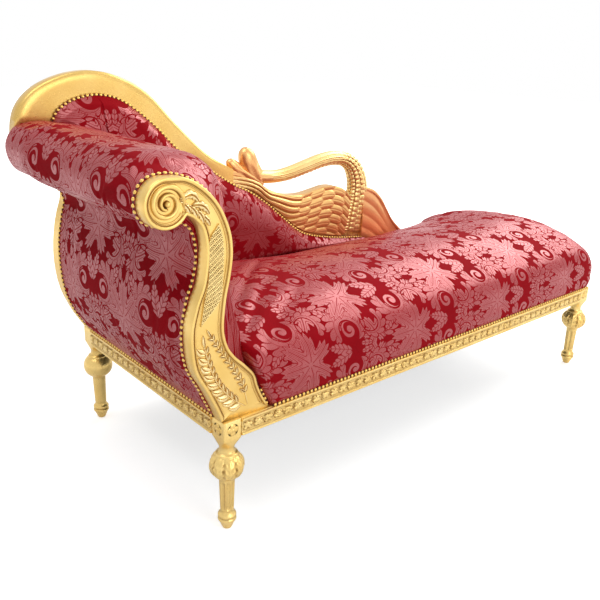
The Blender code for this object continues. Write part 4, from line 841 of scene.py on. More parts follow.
def back_cushion():
    """Inside back, from the nails under the crest and the wing down to the arm and the seat."""
    line = smooth(BACK_EDGE_LINE, 400)
    section = arm_section(ARM_LAST)
    flank = section[section[:, 1] > 0.25, 0].max()
    x = np.unique(np.r_[np.linspace(-0.088, flank, 30), flank + np.linspace(0.0008, 0.08, 14),
                        np.linspace(flank + 0.08, BREAST_EDGE, 120)])
    top = np.interp(x, line[:, 0], line[:, 1])
    low = np.minimum(back_foot(x), top - 0.004)
    share = 1 - np.linspace(1, 0, 52) ** 1.25
    z = low[:, None] + (top - low)[:, None] * share[None, :]
    y = FRAME_FRONT - CLEAR - back_depth(x[:, None], z, top[:, None] - z)
    face = grid_of(x[:, None], y, z)
    rear = face.copy()
    rear[..., 1] = FRAME_FRONT - CLEAR
    marks = grid_of(BACK_CLOTH_START - z, x[:, None] - BACK_CLOTH_AXIS)
    sheets, cloth = [face, rear], [marks, marks]
    for side in ((0, ...), (-1, ...), (slice(None), 0), (slice(None), -1)):
        sheets.append(np.stack([face[side], rear[side]], 1))
        cloth.append(np.stack([marks[side]] * 2, 1))
    item = piece("back_cushion", sheets, silk, cloth, sharp=0)

    def free(px, py, pz):
        """The back is free between its nails, and held behind and where the arm and the seat meet it."""
        edge = np.interp(px, x, top) - pz
        foot = pz - np.maximum(np.interp(px, x, low), 0.19)
        ends = np.minimum(px + 0.088, BREAST_EDGE - px)
        return ease(edge, 0.010, 0.06) * ease(foot, 0, 0.06) * ease(ends, 0.01, 0.06) * (py < FRAME_FRONT - 0.003)

    swell(item, free, 0.0, 0.006)
    return item


def outside_outline():
    """Outline of the damask on the rear of the back."""
    return np.vstack([smooth(OUTSIDE_LEFT, 60), smooth(BACK_EDGE_LINE, 160), [(BREAST_EDGE, 0.004)]])


def outside_back():
    """Damask stretched over the rear of the back."""
    return plate("outside_back", outside_outline(), 0.012,
                 lambda p, near: np.full(len(p), BACK_FACE + CLEAR),
                 lambda p, near: BACK_FACE + 0.0012 + 0.0035 * ease(near, 0, 0.05),
                 silk, cloth=lambda p: grid_of(BACK_CLOTH_START - p[:, 1], p[:, 0] - BACK_CLOTH_AXIS))


def dust_cloth():
    """Black cambric tacked under the rails, sagging a little between them and cut out round the legs."""
    margin, notch, sag, thickness = 0.010, HALF_BLOCK + 0.002, 0.004, 0.0008
    lines = [np.unique(np.r_[-HALF_BLOCK + margin, notch, np.linspace(notch, span - notch, count),
                             span + HALF_BLOCK - margin]) for span, count in ((LEG_SPAN, 60), (LEG_DEPTH, 26))]
    a, b = np.meshgrid(*lines, indexing="ij")
    edge = np.minimum(np.minimum(a - notch, LEG_SPAN - notch - a), np.minimum(b - notch, LEG_DEPTH - notch - b))
    top = grid_of(a, b, -RAIL_HEIGHT - CLEAR - sag * ease(edge, 0.02, 0.20)).reshape(-1, 3)
    index = np.arange(a.size).reshape(a.shape)
    cells = np.stack([index[:-1, :-1], index[1:, :-1], index[1:, 1:], index[:-1, 1:]], -1)
    kept = np.ones(cells.shape[:2], bool)
    kept[np.ix_([0, -1], [0, -1])] = False
    return dress("dust_cloth", *slab(top, top - (0, 0, thickness), cells[kept].tolist()), cambric)


# Crest

def crest():
    """Domed crest: a flat band with a rolled bead along its outer edge."""
    outer, inner = smooth(CREST_OUTER, 170), smooth(CREST_INNER, 170)
    shares = np.r_[0.0, 0.03, 0.10, 0.20, 0.30, 0.40, 0.46, 0.52, 0.57, 0.61, np.linspace(0.64, 1.0, 17)]
    proud = np.interp(shares, (0.0, 0.03, 0.10), (0.0, 0.28, 0.48)) + 0.52 * ease(shares, 0.10, 0.94)
    on_bead = shares > 0.74
    proud[on_bead] *= ridge(shares[on_bead] - 0.74, 0.265)
    # the bead sinks into the frame behind the roll, and thins towards the swan
    behind_roll = ease(outer[:, 1], 0.590, 0.628)
    to_swan = 1 - 0.86 * ease(outer[:, 0], 0.385, 0.500)
    bead = 0.010 * np.where(outer[:, 0] < 0, behind_roll, to_swan)
    back_shares = np.array([1.0, 0.985, 0.96, 0.90, 0.10, 0.0])
    depth = np.array([0.86, 0.95, 0.99, 1.0, 1.0, 0.96]) * 0.040
    sides = []
    for steps, out in ((shares, -bead[:, None] * proud[None, :]), (back_shares, depth[None, :])):
        plane = blend(inner[:, None], outer[:, None], steps[None, :, None])
        sides.append(grid_of(plane[..., 0], FRAME_FRONT + out, plane[..., 1]))
    ring = np.concatenate(sides, 1)
    return piece("carved_crest", [closed(ring), *flat_ends(ring)], crest_leaf)


# Scroll panel

VOLUTE = np.array((-0.150, 0.527))
VOLUTE_RADIUS = 0.052
SCROLL_RIGHT = mm((112, 0), (91, 37), (78, 67), (67, 100), (41, 130), (11, 160), (-9, 192), (-18, 235), (-12, 300),
                  (0, 355), (6, 405), (-1, 455), (-26, 510), (-62, 549), (-104, 574), (-150, 579))
SCROLL_LEFT = mm((-106, 499), (-87, 488), (-69, 463), (-61, 414), (-70, 348), (-90, 298), (-104, 235), (-96, 152),
                 (-64, 88), (-37, 30), (-25.5, 0))


def scroll_outline():
    """Outline of the volute panel, with the volute as an arc between its two long edges."""
    turn = np.linspace(math.pi / 2, math.tau - math.radians(33), 60)[1:-1]
    arc = VOLUTE + VOLUTE_RADIUS * circle(turn)
    return np.vstack([smooth(SCROLL_RIGHT, 150), arc, smooth(SCROLL_LEFT, 110)]) + (0, CLEAR)


SCROLL_BORDER = 0.0085
SCROLL_FIELD = SCROLL_FRONT + 0.0048      # the sunk ground that the carving stands on
SUNK = 0.0006                             # how far the carving is let in to it


def scroll_front(p, near):
    """Front of the scroll panel: a rounded border, a fine inner line and the sunk field."""
    y = SCROLL_FRONT + rounded(near, 0.0032)
    y = y + (SCROLL_FIELD - SCROLL_FRONT) * ease(near, SCROLL_BORDER - 0.0018, SCROLL_BORDER + 0.0004)
    return y - 0.0021 * ridge(near - 0.0125, 0.0016)


def on_field(place, rise):
    """Sheets of a carving that stands on the scroll panel's field, from its places and its heights."""
    top = grid_of(place[..., 0], SCROLL_FIELD + SUNK - rise, place[..., 1])
    return [top, top[:, [0, -1]]]


def carved_ridge(line, half, high):
    """Half-round ridge along a line, thinning to nothing at its ends."""
    s = np.linspace(0, 1, len(line))
    taper = np.clip(np.minimum(s, 1 - s) / 0.06, 0, 1) ** 0.5
    t = np.cos(np.linspace(math.pi, 0, 11))
    place = line[:, None] + left_of(heading(line))[:, None] * ((half * taper)[:, None] * t)[..., None]
    return on_field(place, (high * taper)[:, None] * np.sqrt(1 - t * t))


def carved_leaf(base, tip, half, bow=0.0, lobes=0, high=0.0072):
    """Carved leaf: domed, grooved along its midrib, with notched sides."""
    base, along = np.array(base, float), np.subtract(tip, base)
    s = np.linspace(0, 1, 33 if lobes else 21)
    line = base + s[:, None] * along + (bow * hump(s))[:, None] * left_of(along)
    way = heading(line)
    full = hump(s ** 0.75, 0.6)
    width = half * full * (0.70 + 0.30 * np.abs(hump(lobes * s)) if lobes else 1.0)
    t = np.cos(np.linspace(math.pi, 0, 13))
    # the lobes point forwards
    lean = 0.35 * half * np.abs(t)[None, :] * full[:, None] * bool(lobes)
    place = line[:, None] + left_of(way)[:, None] * (width[:, None] * t)[..., None] + way[:, None] * lean[..., None]
    dome = (1 - t * t) ** 0.6 * (1 - 0.45 * groove(t, 0.16))
    return on_field(place, high * (full ** 0.6)[:, None] * dome)


def leaves_along(stem, first, step, size, shrink, half, slant, sides, bow):
    """Leaves in steps along a stem, each smaller than the one before."""
    sheets = []
    for k, at in enumerate(range(first, len(stem) - 3, step)):
        way = stem[at + 2] - stem[at]
        way = way / np.linalg.norm(way)
        reach = size - shrink * k
        for side in sides:
            tip = stem[at] + (way * math.cos(slant) + left_of(way) * side * math.sin(slant)) * reach
            sheets += carved_leaf(stem[at], tip, half * reach / size, bow * side)
    return sheets


def carved_volute():
    """Spiral that leaves the border at the throat and winds in to a round eye."""
    turns, eye_radius, eye_height = 1.85, 0.0078, 0.0115
    t = np.linspace(0, 1, 210)
    angle = math.radians(-18) + math.tau * turns * t
    out = blend(0.0395, 0.0100, t ** 0.92)
    line = VOLUTE + out[:, None] * circle(angle)
    sheets = carved_ridge(line, blend(0.0064, 0.0042, t), blend(0.0080, 0.0095, t))
    turn = round_turn(40)
    up = np.linspace(0, math.pi / 2, 9)[:, None]
    place = VOLUTE + eye_radius * np.cos(up)[..., None] * circle(turn)
    eye = on_field(place, eye_height * np.sin(up))[0]
    base = np.stack([eye[0], eye[0].mean(0)[None].repeat(40, 0)], 0)
    return piece("carved_volute", [*sheets, closed(eye), closed(base)], gold_leaf)


SPRAY_STEM = mm((-121, 529), (-104, 522), (-83, 508), (-64, 491))
# from, to and half width of each leaf of the spray
SPRAY_LEAVES = mm((-122, 531, -74, 520, 9.5), (-94, 519, -51, 494, 8.8), (-112, 523, -98, 499, 7),
                  (-98, 517, -81, 487, 7.6), (-83, 507, -66, 476, 7.4), (-70, 495, -50, 470, 6.6))
SPRAY_BOWS = (0.30, 0.18, 0.10, 0.10, 0.10, 0.10)
SPRAY_LOBES = (4, 4, 3, 3, 3, 3)
LAUREL = mm((45, 20), (3, 55), (-36, 105), (-58, 158), (-70, 205))
BUD_BRANCH = mm((50, 22), (34, 80), (4, 135), (-28, 184), (-54, 226))


def scroll_sprays():
    """Acanthus that springs from the volute, and a laurel branch and a bud branch at the foot."""
    stem = smooth(SPRAY_STEM, 40)
    laurel, buds = smooth(LAUREL, 60), smooth(BUD_BRANCH, 60)
    sheets = []
    for line, half, high in ((stem, 0.0020, 0.0040), (laurel, 0.0022, 0.0042), (buds, 0.0016, 0.0032)):
        sheets += carved_ridge(line, half, high)
    for (x, z, to_x, to_z, half), bow, lobes in zip(SPRAY_LEAVES, SPRAY_BOWS, SPRAY_LOBES):
        sheets += carved_leaf((x, z), (to_x, to_z), half * 1.15, bow, lobes, 0.0080)
    sheets += leaves_along(laurel, 6, 6, 0.034, 0.0006, 0.0108, 0.72, (1,), 0.16)
    sheets += leaves_along(laurel, 9, 5, 0.022, 0.0005, 0.0062, 0.55, (-1,), 0.10)
    sheets += carved_leaf(laurel[-2], laurel[-1] + (-0.002, 0.026), 0.0055)
    sheets += leaves_along(buds, 10, 5, 0.019, 0.0004, 0.0056, 0.60, (1, -1), 0.0)
    sheets += carved_leaf(buds[-2], buds[-1] + (-0.008, 0.016), 0.0042)
    return piece("carved_sprays", sheets, bright_leaf)


DIAPER_LEFT = mm((-29, 472), (-53.5, 440), (-55.5, 400), (-58, 352), (-69, 306), (-77.5, 252))
DIAPER_RIGHT = mm((-29, 472), (-19, 440), (-16.5, 396), (-20, 346), (-27.5, 302), (-77.5, 252))


def scroll_diaper():
    """Raised lattice with a bead in each space, down the middle of the panel."""
    pitch = 0.0122
    left, right = smooth(DIAPER_LEFT, 230), smooth(DIAPER_RIGHT, 230)
    middle = (left + right) / 2
    run = run_length(middle)[:, None]
    t = np.linspace(-1, 1, 41)[None, :]
    wide = np.linalg.norm(right - left, axis=1)[:, None] / 2
    side = t * wide
    place = middle[:, None] + (right - middle)[:, None] * t[..., None]
    a, b = (run + side) / pitch, (run - side) / pitch
    bars = np.minimum(np.abs(a - np.round(a)), np.abs(b - np.round(b))) * pitch
    bead = np.hypot(a % 1 - 0.5, b % 1 - 0.5)
    edge = ridge(wide - np.abs(side) - 0.0008, 0.0014)
    rise = 0.0022 + np.maximum(np.maximum(0.0022 * ridge(bars, 0.0024), 0.0024 * ridge(bead, 0.30)), 0.0020 * edge)
    rise = rise * np.clip((1 - np.abs(t)) / 0.03, 0, 1)
    return piece("carved_diaper", on_field(place, rise), diaper_leaf, sharp=60)


# how far in from the panel's edge its front changes slope
SCROLL_STEPS = (0.0008, 0.0020, 0.0034, 0.0066, 0.0075, 0.0083, 0.0089, 0.0108, 0.0115, 0.0125,
                0.0135, 0.0142)


def scroll_panel():
    """The volute panel itself: its board, border, inner line and sunk field."""
    return plate("carved_scroll", scroll_outline(), 0.0040, scroll_front,
                 lambda p, near: SCROLL_REAR - rounded(near, 0.0015), gold_leaf, sharp=60, insets=SCROLL_STEPS)


# Swan

WING_TOP = mm((0, 410), (60, 397), (105, 379), (129, 363), (162, 345), (231, 323), (301, 318), (368, 327),
              (418, 334), (463, 330), (505, 314), (538, 284))
WING_FOOT = mm((0, 369), (58, 343), (132, 295), (171, 263), (218, 224), (267, 186), (316, 160), (393, 139),
               (450, 126), (506, 118))
TAIL_TOP = mm((605, 318), (645, 304), (677, 288), (717, 253), (752, 208), (787, 163), (839, 117), (885, 85),
              (935, 45), (965, 12))
TAIL_FOOT = mm((596, 0), (965, 0))


def carved_panel(name, top, foot, relief, count, rows, finish):
    """Panel between two edges, carved alike on both faces by a function of the shares along and across."""
    upper, lower = (smooth(edge, count) + (SWAN_X + CLEAR, CLEAR) for edge in (top, foot))
    share = np.linspace(0, 1, rows)[None, :]
    along = np.linspace(0, 1, count)[:, None]
    plane = blend(lower[:, None], upper[:, None], share[..., None])
    height = relief(along, share, np.linalg.norm(upper - lower, axis=1)[:, None])
    front, rear = (grid_of(plane[..., 0], depth, plane[..., 1])
                   for depth in (FRAME_FRONT - height, BACK_FACE - 0.0035 + height * 0.35))
    walls = [np.stack([front[:, k], rear[:, k]], 1) for k in (0, -1)]
    walls += [np.stack([front[k], rear[k]], 1) for k in (0, -1)]
    return piece(name, [front, rear, *walls], finish, sharp=55)


def wing_relief(along, share, wide):
    """Long wavy feathers from the joint, and rounded scales at the shoulder."""
    margin = np.minimum(0.017 / wide, 0.65)
    t = np.clip((share - margin) / (1 - margin), 0, 1)
    x = along * (WING_TOP[-1][0] - WING_TOP[0][0])
    down = (1 - share) * wide + 0 * along
    pitch = blend(0.0130, 0.0215, ease(along, 0.10, 0.50))
    wave = 0.0036 * np.sin(x * 36 + down * 14) * ease(along, 0.12, 0.3)
    bars = (down + wave) / pitch + 0.15
    part = bars % 1
    shaft = 0.13 * groove(part - 0.5, 0.06)
    long_feathers = hump(part, 0.55) - shaft + 0.12 * (1 - part)
    column = (along - 0.555) / 0.415 * 4.2
    row = down / 0.0350 + 0.1
    best = np.zeros(np.broadcast(along, share).shape)
    for k in range(-1, 6):
        odd = 0.5 * (k % 2)
        level = np.round(row - odd) + odd
        dx = column - k - 0.30
        dz = (row - level) / 0.545
        reach = np.sqrt(np.where(dx < 0, dx / 0.95, dx / 0.62) ** 2 + dz ** 2)
        scale = (reach < 1) * (0.85 * ridge(reach, 1) + 0.28 * np.clip(dx + 0.5, 0, 1))
        vein = 0.12 * groove(dz, 0.10) * (reach < 0.8)
        best = np.maximum(best, scale - vein)
    mix = ease(along - 0.010 * np.sin(row * math.pi), 0.535, 0.560)
    body = 0.008 * hump(t) * ease(along, 0.02, 0.30)
    height = blend(0.0068 * long_feathers, 0.0082 * np.clip(best, 0, 1.2), mix) + body
    flush = ease(along, -0.03, 0.14)
    return height * flush * ease(t, 0.0, 0.02) * ease(1 - share, 0.0, 0.010) * (share > margin)


def tail_relief(along, share, wide):
    """Ridges that fan out beside the breast, a smooth sweep and a raised edge along the top."""
    bars = share * 6.0 + along * 2.2
    part = bars % 1
    ridges = hump(part, 0.8) * (1 - ease(along, 0.20, 0.55))
    edge = ridge((1 - share) * wide - 0.008, 0.008)
    belly = 0.012 * hump(share) * (1 - along)
    return 0.0042 * np.maximum(ridges * 0.75, edge) + belly


SWAN_NECK = mm((1, 416, 17.5, 20), (60, 403, 22.5, 22), (122, 394, 23, 23), (190, 389, 22, 24),
               (251, 394.5, 23.5, 24), (333, 412, 25, 25), (393, 425, 25.5, 25), (456, 431, 26, 26),
               (515, 423, 27.5, 27), (556, 398, 32, 28), (582, 360, 40, 29), (594, 320, 46, 30),
               (594, 284, 49.5, 30))
SWAN_HEAD = mm((108, 378, 34, 22), (97, 398, 36.5, 26), (84, 424, 33.5, 28), (75, 448, 32.5, 29), (68, 468, 30, 27),
               (62, 484, 23, 21), (59, 495, 9.5, 10))
SWAN_BEAK = mm((125, 366, 22, 18), (92, 384, 29, 24), (58, 404, 28.5, 25), (30, 425, 23, 22), (10, 444, 19, 19),
               (-2, 456, 13, 13), (-6, 461, 5, 5))
SWAN_BREAST = mm((594, 283.6, 49.5, 30), (588, 245, 53, 31), (580, 200, 56, 31), (575, 150, 59, 29),
                 (573, 132, 59.5, 19.5), (570, 70, 58, 19.5), (570, 0.3, 56, 19.5))


def carved_tube(name, path, count, sides, relief, first=None, last=None):
    """Round form along a path of x, z and two half widths, carved by a function of length and angle."""
    line = smooth(path + (SWAN_X, 0, 0, 0), count)
    way = heading(line[:, :2])
    if first:
        way[0] = first
    if last:
        way[-1] = last
    turn = round_turn(sides)
    run = run_length(line[:, :2])[:, None]
    fuller = 1 + relief(run, turn) / line[:, 2:3]
    across = line[:, 2:3] * np.cos(turn) * fuller
    deep = line[:, 3:4] * np.sin(turn) * fuller
    middle = (FRAME_FRONT + BACK_FACE) / 2
    ring = grid_of(line[:, 0:1] - way[:, 1:2] * across, middle + deep, line[:, 1:2] + way[:, 0:1] * across)
    ends = round_ends(ring, np.linspace(0, 1, 5))
    return piece(name, [closed(ring), *ends], neck_leaf, sharp=55, merge=1e-5)


def scale_rows(run, turn, pitch, round_count, tall):
    """Rounded scales round a tube, stacked in columns that step by half a scale."""
    column = turn / math.tau * round_count
    across = column % 1
    down = (run / pitch + 0.5 * (np.floor(column) % 2)) % 1
    body = (np.clip(hump(across), 0, 1) * np.clip(hump(down ** 0.8), 0, 1)) ** 0.30
    return tall * body * (0.80 + 0.20 * down)


SCALE_PITCH = 0.0190
SCALES_ROUND = 11


def neck_relief(run, turn):
    """Smooth above, with long cuts along the sides, and scales from the bend down to the breast."""
    total = run.max()
    scales = scale_rows(total - run, turn, SCALE_PITCH, SCALES_ROUND, 0.0068) - 0.005
    mix = ease(run, total - 0.215, total - 0.165)
    cuts = 0.0
    for at in (-0.95, -1.45, -2.0):
        for face in (at, math.pi - at):
            away = np.mod(turn - face + math.pi, math.tau) - math.pi
            cuts = cuts + groove(away, 0.085)
    long_cuts = -0.0022 * np.clip(cuts, 0, 1) * ease(run, 0.14, 0.22) * (1 - mix)
    throat = np.clip(-np.cos(turn), 0, 1) ** 2
    ticks = 0.0010 * np.sin(run * 330) * throat * ease(run, 0.20, 0.30)
    return blend(long_cuts + ticks, scales, mix)


def breast_relief(run, turn):
    """Scales in line with those of the neck, and a strip of cross cuts along the wing's edge."""
    scales = scale_rows(-run, turn, SCALE_PITCH, SCALES_ROUND, 0.0068) - 0.005
    strip = ease(-np.cos(turn), 0.60, 0.66)
    cuts = 0.0034 * np.abs(hump(run / 0.0120)) ** 0.6
    seam = -0.0040 * groove(np.cos(turn) + 0.62, 0.05)
    return (blend(scales, cuts, strip) + seam) * (1 - ease(run, 0.150, 0.165))


def swan():
    """The swan's pieces, each in place of its solid. Head and beak go with the neck."""
    wing = carved_panel("carved_wing", WING_TOP, WING_FOOT, wing_relief, 300, 160, wing_leaf)
    tail = carved_panel("carved_tail", TAIL_TOP, TAIL_FOOT, tail_relief, 150, 90, tail_leaf)
    neck = carved_tube("carved_neck", SWAN_NECK, 420, 132, neck_relief, (1, 0), (0, -1))
    head = carved_tube("carved_head", SWAN_HEAD, 60, 48, lambda run, turn: 0.0022 * np.cos(
        turn * 7) * (1 - ease(run, 0.045, 0.085)))
    beak = carved_tube("carved_beak", SWAN_BEAK, 60, 60, lambda run, turn: 0.0026 * np.cos(
        turn * 7) * (1 - ease(run, 0.085, 0.125)))
    breast = carved_tube("carved_breast", SWAN_BREAST, 190, 132, breast_relief, (0, -1), (0, -1))
    for item, solid in ((wing, "swan_wing"), (tail, "swan_tail"), (neck, "swan_neck"), (breast, "swan_breast")):
        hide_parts(solid)
    head.parent = beak.parent = neck
    return wing, tail, neck, head, beak, breast


# Legs

LEG_RINGS = mm((0, 9.5), (1.5, 11.5), (4, 12.7), (12, 16), (20, 19.2), (23.5, 21.5), (25.7, 23), (28, 23.5),
               (30.3, 23), (32.5, 21.3), (33.5, 20.5), (34.5, 21.3), (36.7, 22.7), (39, 23.2), (41.3, 22.7),
               (43.5, 21.3), (47, 17.5), (54, 16.5))
NECK_RINGS = mm((140, 19.5), (144, 19.8), (146.5, 21.2), (148, 21.5), (149.7, 21.2), (152, 20.5))
CAP_RINGS = mm((212.5, 27.5), (215, 27.5), (216.5, 26.2), (218, 21.5), (221.5, 19), (230, 18.4), (234, 19),
               (237, 20))
# height, half width and squareness from the shaft's cap up to the block
BLOCK_RINGS = ((0.2440, 0.0225, 2.6), (0.2500, 0.0240, 4.0), (0.2560, 0.0250, 9.0), (0.2585, 0.0253, 30.0),
               (0.2605, HALF_BLOCK, 80.0), (0.2700, HALF_BLOCK, 200.0), (0.2900, HALF_BLOCK, 200.0),
               (0.3080, HALF_BLOCK, 200.0), (0.3090, HALF_BLOCK - 0.0010, 200.0))
LEG_SIDES = 96


def carved_leg(name, x, y, carved):
    """Turned leg: lotus bulb carved with leaves over a fluted shaft, and a square block for the rails."""
    turn = (np.arange(LEG_SIDES) + 0.5) * math.tau / LEG_SIDES
    lobes = np.abs(np.sin(turn * 4))
    rings = list(LEG_RINGS)
    for t in np.linspace(0, 1, 26):
        end = ease(t, 0.0, 0.06) * (1 - ease(t, 0.94, 1.0))
        flute = 0.0048 * np.clip(lobes - 0.25, 0, 1) ** 0.6 * end * carved
        rings.append((blend(0.0560, 0.1385, t), blend(0.0171, 0.0195, t) - flute))
    rings += list(NECK_RINGS)
    for angle in np.linspace(-56, 54, 40):
        up = math.radians(angle)
        t = (angle + 56) / 110
        cut = groove(lobes, blend(0.12, 0.34, t))
        rib = groove(lobes - 1, 0.020)
        lobe = 0.5 + 0.5 * np.cos(math.tau * (t * 4.0 + lobes * 0.9))
        carve = 0.0065 * cut + 0.0022 * lobe * (1 - cut) * (lobes < 0.95) - 0.0008 * rib
        fade = math.sin(math.pi * min(max(t, 0.0), 1.0)) ** 0.5
        rings.append((0.181 + 0.037 * math.sin(up), 0.043 * math.cos(up) ** 0.8 - carve * fade * carved))
    rings += list(CAP_RINGS)
    for z, half, power in BLOCK_RINGS:
        rings.append((z, half / (np.abs(np.cos(turn)) ** power + np.abs(np.sin(turn)) ** power) ** (1 / power)))
    grid = np.array([grid_of(*radius * circle(turn).T, z) for z, radius in rings]) + (x, y, -RAIL_TOP)
    return piece(name, [closed(grid), *round_ends(grid, (0.0, 0.4, 0.8, 1.0))], rail_leaf, sharp=45)


def rosette(name, x, y, facing, along):
    """Carved four-petal flower on the face of a corner block."""
    radius, petal_height, boss_height, sunk = 0.0165, 0.0022, 0.0038, 0.0004
    middle, facing = np.array((x, y, -RAIL_HEIGHT / 2)), np.array(facing)
    share = np.linspace(0.0, 1.0, 22)[:, None]
    turn = round_turn(72)
    petal = np.abs(np.cos(turn * 2)) ** 0.6
    height = petal_height * np.sqrt(np.clip(1 - (share / (0.55 + 0.40 * petal)) ** 4, 0, 1)) * (0.78 + 0.22 * petal)
    height = np.maximum(height, boss_height * ridge(share, 0.30))
    height = np.where(share >= 0.999, -sunk, height)
    wheel = circle(turn) @ np.array((along, (0, 0, 1)))
    grid = middle + radius * share[..., None] * wheel + height[..., None] * facing
    disc = np.stack([grid[-1], 0 * grid[-1] + middle - sunk * facing])
    return piece(name, [closed(grid), closed(disc)], gold_leaf, sharp=45)


def legs():
    """Four legs, each in place of its solid, and the rosettes on the blocks of the front ones."""
    items = []
    for depth, y, carved in (("front", 0.0, True), ("back", LEG_DEPTH, False)):
        for end, x in (("head", 0.0), ("foot", LEG_SPAN)):
            items.append(carved_leg(f"carved_leg_{depth}_{end}", x, y, carved))
            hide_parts(f"leg_{depth}_{end}")
    for end, x, outward in (("head", 0.0, -1), ("foot", LEG_SPAN, 1)):
        items.append(rosette("rosette_front_" + end, x, -HALF_BLOCK, (0, -1, 0), (1, 0, 0)))
        items.append(rosette("rosette_side_" + end, x + outward * HALF_BLOCK, 0.0, (outward, 0, 0), (0, 1, 0)))
    return items


# Rails

# how far below the rail's top, and how far out
BAND_PROFILE = mm((1, 2), (2.2, 4.2), (6.8, 4.2), (8.5, 2.6), (10, 0.4), (37, 0.4), (38.8, 2.2), (40.5, 4.4),
                  (42.5, 5.2), (44.5, 4.4), (46.2, 0.8))
# direction, length and half width of the leaves in one cell of the running leaf
BAND_LEAVES = ((0.5, 0.015, 0.0056), (1.25, 0.012, 0.0048), (2.2, 0.014, 0.0052), (-0.4, 0.012, 0.0044),
               (-2.6, 0.012, 0.0046))


def rail_band(name, start, end, face, outward, along_x):
    """Moulding on the face of a rail: a fillet, a running leaf in low relief and a bead below."""
    pitch, middle, field_top, field_foot = 0.031, -0.0235, -0.0100, -0.0370
    length = end - start
    s = np.linspace(0, length, max(int(length / 0.0022), 2))[:, None]
    z = np.r_[-0.0010, -0.0022, -0.0045, -0.0068, -0.0085, np.linspace(field_top, field_foot, 17), -0.0388,
              -0.0405, -0.0425, -0.0445, -0.0462][None, :]
    out = np.interp(-z, *BAND_PROFILE.T)
    t = s / pitch
    stem = ridge(z - middle - 0.0052 * hump(t), 0.0016) * 0.8
    a = (t % 1 - 0.5) * pitch
    b = (z - middle) * np.where(np.floor(t) % 2 == 0, 1.0, -1.0)
    leaves = np.zeros(np.broadcast(s, z).shape)
    for turn, reach, half in BAND_LEAVES:
        c, d = math.cos(turn), math.sin(turn)
        along = (a * c + (b + 0.002) * d) / reach
        side = -a * d + (b + 0.002) * c
        width = half * np.sqrt(np.clip(hump(np.clip(along, 0, 1)), 0, 1))
        dome = ridge(side, np.maximum(width, 1e-6)) * (along > 0) * (along < 1)
        leaves = np.maximum(leaves, dome - 0.35 * groove(side, 0.0005) * (dome > 0))
    relief = 0.0050 * np.maximum(stem, leaves) * (z < field_top) * (z > field_foot)
    bead = 0.0012 * np.abs(hump(s / 0.0090)) * (z < -0.0388)
    front = grid_of(start + s, face + outward * (out + relief + bead), z)
    foot = front[:, [0, -1]].copy()
    foot[..., 1] = face - outward * 0.0004
    sheets = [front, foot] + [np.stack([front[:, k], foot[:, k]], 1) for k in (0, -1)]
    return piece(name, [sheet if along_x else sheet[..., [1, 0, 2]] for sheet in sheets], rail_leaf, fill=True)


def rail_bands():
    """A band on each rail, up to the corner blocks."""
    gap = HALF_BLOCK - 0.0004
    return [rail_band("carved_band_front", gap, LEG_SPAN - gap, -HALF_BLOCK, -1, True),
            rail_band("carved_band_head", gap, LEG_DEPTH - gap, -HALF_BLOCK, -1, False),
            rail_band("carved_band_foot", gap, LEG_DEPTH - gap, LEG_SPAN + HALF_BLOCK, 1, False),
            rail_band("carved_band_back", gap, LEG_SPAN - gap, BACK_FACE, 1, True)]


# Nails

NAIL_PITCH = 0.0130
NAIL_RADIUS = 0.0046
# share of the radius and height of a nail's head, from its rim to its crown
NAIL_HEAD = ((0.98, -0.0008), (1.0, 0.0004), (0.86, 0.0020), (0.52, 0.0032), (0.0, 0.0037))


def nails(name, line, normals):
    """Row of close brass nails with domed heads, set along a line."""
    run = run_length(line)
    count = max(int(run[-1] / NAIL_PITCH), 2)
    at = (np.arange(count) + 0.5) * run[-1] / count
    spots = np.stack([np.interp(at, run, column) for column in np.hstack([line, normals]).T], 1)
    wheel = circle(round_turn(10))
    heads = []
    for spot in spots:
        n = spot[3:] / np.linalg.norm(spot[3:])
        side = np.cross(n, (0.31, 0.52, 0.79))
        side /= np.linalg.norm(side)
        rim = NAIL_RADIUS * wheel @ np.array((side, np.cross(n, side)))
        heads.append(closed(np.array([spot[:3] + rim * share + n * rise for share, rise in NAIL_HEAD])))
    item = piece(name, heads, brass, sharp=60, merge=1e-6, fill=True)


def shadow_strip(name, line, normals):
    """Narrow dark strip under a row of nails: painted shadow where the cloth's edge is turned in."""
    half, rise = 0.0026, 0.0006
    normals = normals / np.linalg.norm(normals, axis=1)[:, None]
    side = np.cross(heading(line), normals)
    ring = np.stack([line + side * half * a + normals * rise * b for a, b in
                     ((-1, -1), (-0.8, 1), (0.8, 1), (1, -1))], 1)
    piece(name, [closed(ring), *flat_ends(ring)], nail_shadow_finish, sharp=60)


def straight(start, end, count):
    """Points of a straight line."""
    return blend(np.array(start), np.array(end), np.linspace(0, 1, count)[:, None])


